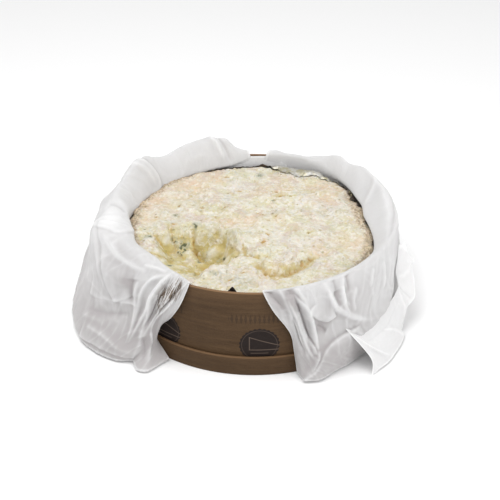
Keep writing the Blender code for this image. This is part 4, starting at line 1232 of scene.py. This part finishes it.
def make_foil():
    """A band round the cheese: up its side, over the shoulder and the edge, then free teeth of
    random height. Behind at the right it is folded down on to the top."""
    azimuth = np.arange(FOIL_COLUMNS) * 360.0 / FOIL_COLUMNS
    angle = np.radians(azimuth)
    ring_x, ring_y = np.sin(angle), -np.cos(angle)
    turn = (azimuth + 180) % 360 - 180
    fold = MM * smooth_guide(azimuth, FOIL_FLAP)[0]
    share_free = smooth_guide(azimuth, FOIL_FREE)[0]
    flap = np.clip(fold / FULL_FLAP, 0, 1)
    around = ring_x * 0.14, ring_y * 0.14, 0 * angle
    jag = 0.7 * np.maximum(noise(*around, 0.012, 7), 0) + 0.3 * np.abs(noise(*around, 0.0035, 8))
    tooth = FRONT_TOOTH[2] * np.clip(1 - np.abs(turn - FRONT_TOOTH[0]) / FRONT_TOOTH[1], 0, 1)
    free = FOIL_TEETH * (0.15 + 2.4 * jag) * np.maximum(share_free, 0) * (1 - 0.9 * flap) + tooth
    sunk = np.maximum(-share_free, 0)
    flakes = 0 * angle
    for middle, half, far in FOIL_FLAKES:
        flakes = np.maximum(flakes, MM * far * np.clip(1 - np.abs(azimuth - middle) / half, 0, 1)**0.5)
    edge = edge_reach(ring_x, ring_y) + GAP
    shoulder = shoulder_reach(ring_x, ring_y) + GAP
    low_share = np.linspace(FOIL_START, SIDE_UP, FOIL_LOW_ROWS)
    low_wide, = smooth_guide(low_share, CHEESE_SIDE)
    low_share = np.append(low_share, SHOULDER_UP)
    low_radius = [CHEESE_RADIUS * wide + GAP + 0 * angle for wide in low_wide] + [shoulder]
    low_height = [CHEESE_BOTTOM + (CHEESE_TOP - CHEESE_BOTTOM) * up + 0 * angle for up in low_share]
    rows = FOIL_ROWS - len(low_share)
    over = np.linspace(0, 1, rows)[:, None]
    inward = np.maximum(fold, flakes * (0.6 + jag)) * (0.85 + 0.4 * jag) + 0.0010 * jag * (tooth == 0)
    reach = (edge + 0.0008 - inward * over * (1 - sunk) + 0.0012 * (tooth > 0) * over
             + (shoulder - edge) * sunk)
    under = cheese_top(reach * ring_x, reach * ring_y)
    bulge = FLAP_BULGE * flap * np.sin(math.pi * over) + 0.2 * FLAP_BULGE * flap
    stand = np.maximum(under + FOIL_OFF, CHEESE_TOP - FOIL_LOWEST) + free * over + bulge - FOIL_SUNK * sunk
    radius, height = np.concatenate([low_radius, reach]), np.concatenate([low_height, stand])
    crumple = layered_noise(radius * ring_x, radius * ring_y, height, CRUMPLE_SIZE, 3, 17, 0.6)
    loose = np.concatenate([np.zeros((FOIL_ROWS - rows, 1)), np.clip(over * 2, 0, 1)])
    height = height + CRUMPLE_UP * np.abs(crumple) * loose * (1 - 0.4 * flap)
    radius = radius + CRUMPLE_OUT * crumple * loose * (1 - 0.5 * flap)
    points = np.stack([radius * ring_x, radius * ring_y, height], -1)
    faces = grid_faces(FOIL_ROWS, FOIL_COLUMNS, close_columns=True)
    obj = add_mesh("crumpled_foil", points.reshape(-1, 3), faces)
    set_attribute(obj, "silver", np.clip(flap * 1.3, 0, 1) * np.clip(loose * 2 - 0.2, 0, 1))
    thicken(obj, FOIL_THICKNESS)
    finish_piece(obj, foil_material(), "foil_wrap")


# The muslin.

def spline_down(lines, rows):
    """Smooth curves down the cloth through its guide lines, spaced by their mean distance."""
    chord = np.linalg.norm(np.diff(lines, axis=0), axis=2).mean(1)
    knots = np.concatenate([[0.0], np.cumsum(chord)]) / chord.sum()
    span = np.diff(knots)[:, None, None]
    rise = np.diff(lines, axis=0) / span
    share = span[:-1] / (span[:-1] + span[1:])
    slope = np.concatenate([rise[:1], rise[:-1] * (1 - share) + rise[1:] * share, rise[-1:]])
    down = np.linspace(0.0, 1.0, rows)
    index = find_span(knots, down)
    u = (down - knots[index])[:, None, None] / span[index]
    return hermite(u, lines[index], lines[index + 1], span[index] * slope[index],
                   span[index] * slope[index + 1])


def eased_line(line, size):
    """A line of shares in metres, its corners cut twice at the quarter points of its runs."""
    points = np.array(line) / 100 * size
    for _ in range(2):
        near, far = points[:-1], points[1:]
        cut = np.stack([0.75 * near + 0.25 * far, 0.25 * near + 0.75 * far], 1).reshape(-1, 2)
        points = np.concatenate([points[:1], cut, points[-1:]])
    return points


def fold_lift(u, v, folds, layers, size):
    """The folds as a height over the flat cloth: ridges rounded at their lines and sinking away,
    then layers that step up at a line and sink back behind it. Both fade at the ends of their
    lines, which wander by layered noise."""
    lift = np.zeros(u.shape)
    wander_u, wander_v = (layered_noise(u, v, 0 * u, WANDER_SIZE, 2, seed) for seed in (161, 162))
    u, v = u + FOLD_WANDER * wander_u, v + FOLD_WANDER * wander_v
    for height, width, line in folds:
        distance, along, _ = distance_to_line(u, v, eased_line(line, size))
        ends = smoothstep(-0.05, 0.30, along) * (1 - smoothstep(0.60, 1.05, along))
        rounded = np.hypot(distance, FOLD_ROUND) - FOLD_ROUND
        lift += MM * height * np.exp(-rounded / (0.55 * MM * width)) * (0.08 + 0.92 * ends)
    for height, reach, line in layers:
        distance, along, side = distance_to_line(u, v, eased_line(line, size))
        ends = smoothstep(0.0, 0.14, along) * (1 - smoothstep(0.86, 1.0, along))
        step = smoothstep(-LAYER_EDGE, LAYER_EDGE, distance * side)
        lift += MM * height * ends * step * (1 - smoothstep(0.15 * MM * reach, MM * reach, distance))
    return lift


def wrinkle_lift(u, v, seed):
    """Fine creases: ridged noise (one less the size of the noise), drawn out down the cloth and
    slanted, sharp at the ridges, and stronger in some places than in others."""
    flat = 0 * u
    bend = 0.012 * layered_noise(u, v, flat, 0.05, 2, seed)
    down = layered_noise(u + bend + 0.25 * v, v * 0.30, flat, LONG_CREASE[1], 3, seed + 10)
    cross = layered_noise(u * 0.6 - 0.4 * v, v + bend, flat, CROSS_CREASE[1], 3, seed + 20)
    sharp = noise(u * 0.8 + bend - 0.35 * v, v * 0.25, flat, SHARP_CREASE[1], seed + 40)
    where = smoothstep(-0.4, 0.5, noise(u, v, flat, 0.06, seed + 30))
    return (LONG_CREASE[0] * ((1 - np.abs(down))**4 - 0.45) * (0.3 + 0.7 * where)
            + CROSS_CREASE[0] * ((1 - np.abs(cross))**4 - 0.45) * (1 - 0.5 * where)
            + SHARP_CREASE[0] * ((1 - np.abs(sharp))**8 - 0.2) * where)


def keep_clear(points, down):
    """Holds the sheet off the hoops: inside the wall until it is over the rim, then outside. What
    would still lie in the wall is lifted on to its rim."""
    radius = np.hypot(points[..., 0], points[..., 1])
    height = np.maximum(points[..., 2], 2 * CLOTH_THICKNESS)
    inner = BOX_RADIUS - WALL
    near_foot = smoothstep(FOOT_HEIGHT + 0.012, FOOT_HEIGHT + 0.003, height)
    least = BOX_RADIUS + GAP + (FOOT_OUTER - BOX_RADIUS) * near_foot
    outside = (down > REACHES_OUTSIDE) & (height < BOX_HEIGHT + 0.001)
    held = np.where(outside, np.maximum(radius, least), radius)
    inside = (down < LEAVES_INSIDE) & (height < BOX_HEIGHT + 0.0005)
    held = np.where(inside, np.minimum(held, inner - GAP), held)
    in_wall = (held > inner - GAP / 2) & (held < BOX_RADIUS + GAP / 2) & (height > BOX_HEIGHT - 0.012)
    height = np.where(in_wall, np.maximum(height, BOX_HEIGHT + GAP), height)
    scale = held / radius
    return np.stack([points[..., 0] * scale, points[..., 1] * scale, height], -1)


def sheet_place(u, v, place, reach, size):
    """A smooth hill on the sheet: its place is in per cent, its reach in millimetres."""
    middle = place[0] / 100 * size[0], place[1] / 100 * size[1]
    return bell(u, v, middle, MM * reach[0], MM * reach[1])


def make_cloth(name, node, material, guides, size, grid, seed, outward=1.0, folds=(), layers=(),
               light_and_fullness=(), stains=()):
    """A sheet through its guides, raised by its folds, layers and wrinkles. A sheet of more than
    three guides goes over the rim; a shorter one lies wholly inside or outside the wall. It looks
    doubled, painted brighter and more opaque as a painted highlight, where it stands over the cloth
    round it, and at its hem; where it sinks below that cloth it is painted darker, painted shade.
    A sheet over the rim is painted darker low down, a shorter one a little brighter all over, and
    patches of painted light and shade are added."""
    share = np.linspace(0.0, 1.0, grid[0])
    lines = []
    for guide in guides:
        azimuth, out, up = smooth_guide(100 * share, guide)
        lines.append(from_azimuth(azimuth, BOX_RADIUS + MM * out, BOX_HEIGHT + MM * up))
    points = spline_down(np.stack(lines), grid[1])
    across, down = np.meshgrid(share, np.linspace(0, 1, grid[1]))
    u, v = across * size[0], down * size[1]
    over_rim = len(guides) > 3
    lift = fold_lift(u, v, folds, layers, size)
    lift = lift + wrinkle_lift(u, v, seed) * (smoothstep(0.15, 0.40, down) if over_rim else 0.6)
    points = points + surface_normals(points) * (outward * lift)[..., None]
    starts_inside = np.hypot(*points[0, 0, :2]) < BOX_RADIUS
    points = keep_clear(points, down if over_rim else 0 * down + (0 if starts_inside else 1))
    hem = np.minimum(np.minimum(u, size[0] - u), size[1] - v)
    # painted highlight and shade: brighter over the cloth round it, darker below it; fuller at the hem
    thick_and_lit = 0.5 + (lift - spread(lift, 16)) / DOUBLED_AND_LIT + 0.35 * (1 - smoothstep(*HEM, hem))
    # painted shade: a sheet over the rim is painted darker lower down; a shorter one a little brighter
    lower = -0.35 * smoothstep(0.45, 0.95, down) if over_rim else 0.2
    thick_and_lit = np.clip(np.clip(thick_and_lit, 0, 1) + lower, 0, 1)
    # painted light and shade in patches
    for place, reach, amount in light_and_fullness:
        thick_and_lit = thick_and_lit + amount * sheet_place(u, v, place, reach, size)
    thin = np.zeros(u.shape)
    for place, reach in stains:
        thin = np.maximum(thin, sheet_place(u, v, place, reach, size))
    grids = points, np.stack([u, v], -1), thin, np.clip(thick_and_lit, 0, 1)
    points, uv, thin, thick_and_lit = grids if outward > 0 else (values[:, ::-1] for values in grids)
    obj = add_mesh(name, points.reshape(-1, 3), grid_faces(grid[1], grid[0]))
    set_uv(obj, uv)
    for mask, values in (("thin", thin), ("thick_and_lit", thick_and_lit), ("stain", smoothstep(0.2, 0.9, thin))):
        set_attribute(obj, mask, values)
    thicken(obj, CLOTH_THICKNESS)
    finish_piece(obj, material, node)


# The wood.

def corner(radius, height, first, ease, count):
    """A quarter arc round a middle in a section, clockwise from a direction in quarter turns: 0 is
    up and 1 is outwards."""
    angle = (first + np.linspace(0, 1, count)) * math.pi / 2
    return np.stack([radius + ease * np.sin(angle), height + ease * np.cos(angle)], 1)


def turned_piece(name, section, closed):
    """A section of radius and height carried round a circle. Gives the piece and its points."""
    azimuth = np.linspace(-180, 180, HOOP_COLUMNS, endpoint=False)
    points = from_azimuth(azimuth[None, :], section[:, :1], section[:, 1:])
    faces = grid_faces(len(section), HOOP_COLUMNS, close_rows=closed, close_columns=True)[:, ::-1]
    return add_mesh(name, points.reshape(-1, 3), faces), points, azimuth


def make_hoop(name, node, inner, outer, bottom, top, material):
    """A hoop: a closed section with eased edges (quarter arcs) carried round a circle, its UV map
    running round it and up."""
    ease = HOOP_EASE
    heights = np.linspace(top - ease, bottom + ease, HOOP_WALL_ROWS + 2)[1:-1]
    section = np.concatenate([
        corner(outer - ease, top - ease, 0, ease, HOOP_ARC),
        np.stack([outer + 0 * heights, heights], 1),
        corner(outer - ease, bottom + ease, 1, ease, HOOP_ARC),
        corner(inner + ease, bottom + ease, 2, ease, HOOP_ARC),
        np.stack([inner + 0 * heights, heights[::-1]], 1),
        corner(inner + ease, top - ease, 3, ease, HOOP_ARC)])
    obj, points, azimuth = turned_piece(name, section, True)
    round_it = np.radians(azimuth)[None, :] * outer + 0 * section[:, :1]
    layer = set_uv(obj, np.stack([round_it, points[..., 2]], -1))
    coords = np.empty(len(layer.data) * 2, np.float32)
    layer.data.foreach_get("uv", coords)
    quads = coords.reshape(-1, 4, 2)
    wraps = (quads[:, :, 0].max(1) - quads[:, :, 0].min(1)) > outer
    low = quads[wraps, :, 0] < 0
    quads[wraps, :, 0] += low * 2 * math.pi * outer
    layer.data.foreach_set("uv", quads.ravel())
    set_attribute(obj, "cut_edge", smoothstep(top - CUT_EDGE[0], top - CUT_EDGE[1], points[..., 2]))
    finish_piece(obj, material, node)


def make_disc(material):
    """The base disc: a section from the middle of the top, over an eased edge, to the middle below."""
    ease = DISC_EASE
    flat = DISC_RADIUS * np.array([0.0, 0.25, 0.5, 0.75, 0.9])
    section = np.concatenate([
        np.stack([flat, 0 * flat + DISC_THICKNESS], 1),
        corner(DISC_RADIUS - ease, DISC_THICKNESS - ease, 0, ease, DISC_ARC),
        corner(DISC_RADIUS - ease, ease, 1, ease, DISC_ARC),
        np.stack([flat[::-1], 0 * flat], 1)])
    obj, points, _ = turned_piece("base_board", section, False)
    set_uv(obj, points[..., :2])
    set_attribute(obj, "cut_edge", np.zeros(points.shape[:2]))
    merge = obj.modifiers.new("close_middle", "WELD")
    merge.merge_threshold = MERGE_DISTANCE
    finish_piece(obj, material, "base_disc")


# The stage.

def add_object(name, data, place, turn):
    """A camera or lamp at a place, turned by Euler angles."""
    obj = bpy.data.objects.new(name, data)
    obj.location = place
    obj.rotation_euler = turn
    bpy.context.scene.collection.objects.link(obj)
    return obj


def make_camera():
    """The camera on its circle round the target, looking down at it from the front."""
    elevation = math.radians(CAMERA_ELEVATION)
    data = bpy.data.cameras.new("camera")
    data.lens = CAMERA_LENS
    data.sensor_width = CAMERA_SENSOR
    data.clip_end = CAMERA_REACH
    back, up = CAMERA_DISTANCE * math.cos(elevation), CAMERA_DISTANCE * math.sin(elevation)
    place = (CAMERA_TARGET[0], CAMERA_TARGET[1] - back, CAMERA_TARGET[2] + up)
    bpy.context.scene.camera = add_object("camera", data, place, (math.pi / 2 - elevation, 0.0, 0.0))


def make_light(name, place, power):
    """A square lamp that looks at the middle of the box."""
    data = bpy.data.lights.new(name, "AREA")
    data.shape = "SQUARE"
    data.size = LIGHT_SIZE
    data.energy = power
    aim = Vector(LIGHT_TARGET) - Vector(place)
    add_object(name, data, place, aim.to_track_quat("-Z", "Y").to_euler())


def make_stage():
    """An even white surround, two soft lamps and a wide pale floor."""
    scene = bpy.context.scene
    scene.world = bpy.data.worlds.new("studio")
    scene.world.use_nodes = True
    background = scene.world.node_tree.nodes["Background"]
    NodeTree(scene.world.node_tree).fill(background, {"Color": (1.0, 1.0, 1.0), "Strength": WORLD_STRENGTH})
    make_light("key", KEY_PLACE, KEY_POWER)
    make_light("fill", FILL_PLACE, FILL_POWER)
    side = FLOOR_HALF * np.array([-1, 1, 1, -1])
    corners = np.stack([side, np.roll(side, 1), 0 * side], 1)
    floor = add_mesh("floor", corners, np.array([[0, 1, 2, 3]]), smooth=False)
    floor.data.materials.append(new_material("pale_floor", FLOOR_GREY, 0.8)[0])
    scene.view_settings.view_transform = "Standard"


def main():
    """Makes the looks, the stage and the pieces."""
    for make_group in (blotch_group, speck_group, grain_group, weave_group, print_group):
        make_group()
    muslin = muslin_material()
    make_camera()
    make_stage()
    make_cheese()
    make_foil()
    make_hoop("wall_hoop", "box_wall", BOX_RADIUS - WALL, BOX_RADIUS, DISC_THICKNESS + GAP, BOX_HEIGHT,
              wood_material("printed_veneer", True))
    plain = wood_material("bare_veneer", False)
    make_hoop("lower_hoop", "foot_hoop", FOOT_OUTER - FOOT_HOOP, FOOT_OUTER, 0.0, FOOT_HEIGHT, plain)
    make_disc(plain)
    whole = (CLOTH_WIDTH, CLOTH_DROP)
    make_cloth("muslin_left", "cloth_left", muslin, LEFT_GUIDES, whole, CLOTH_GRID, 200,
               folds=LEFT_FOLDS, layers=LEFT_LAYERS, light_and_fullness=LEFT_LIGHT_AND_FULLNESS, stains=STAINS)
    make_cloth("muslin_right", "cloth_right", muslin, RIGHT_GUIDES, whole, CLOTH_GRID, 300,
               outward=-1.0, folds=RIGHT_FOLDS, layers=RIGHT_LAYERS, light_and_fullness=RIGHT_LIGHT_AND_FULLNESS)
    make_cloth("muslin_lining", "cloth_left", muslin, LINING_GUIDES, (LINING_WIDTH, LINING_DROP),
               LINING_GRID, 500)
    make_cloth("muslin_flap", "cloth_right", muslin, FLAP_GUIDES, (FLAP_WIDTH, FLAP_DROP), FLAP_GRID,
               400, outward=-1.0, folds=FLAP_FOLDS)


main()
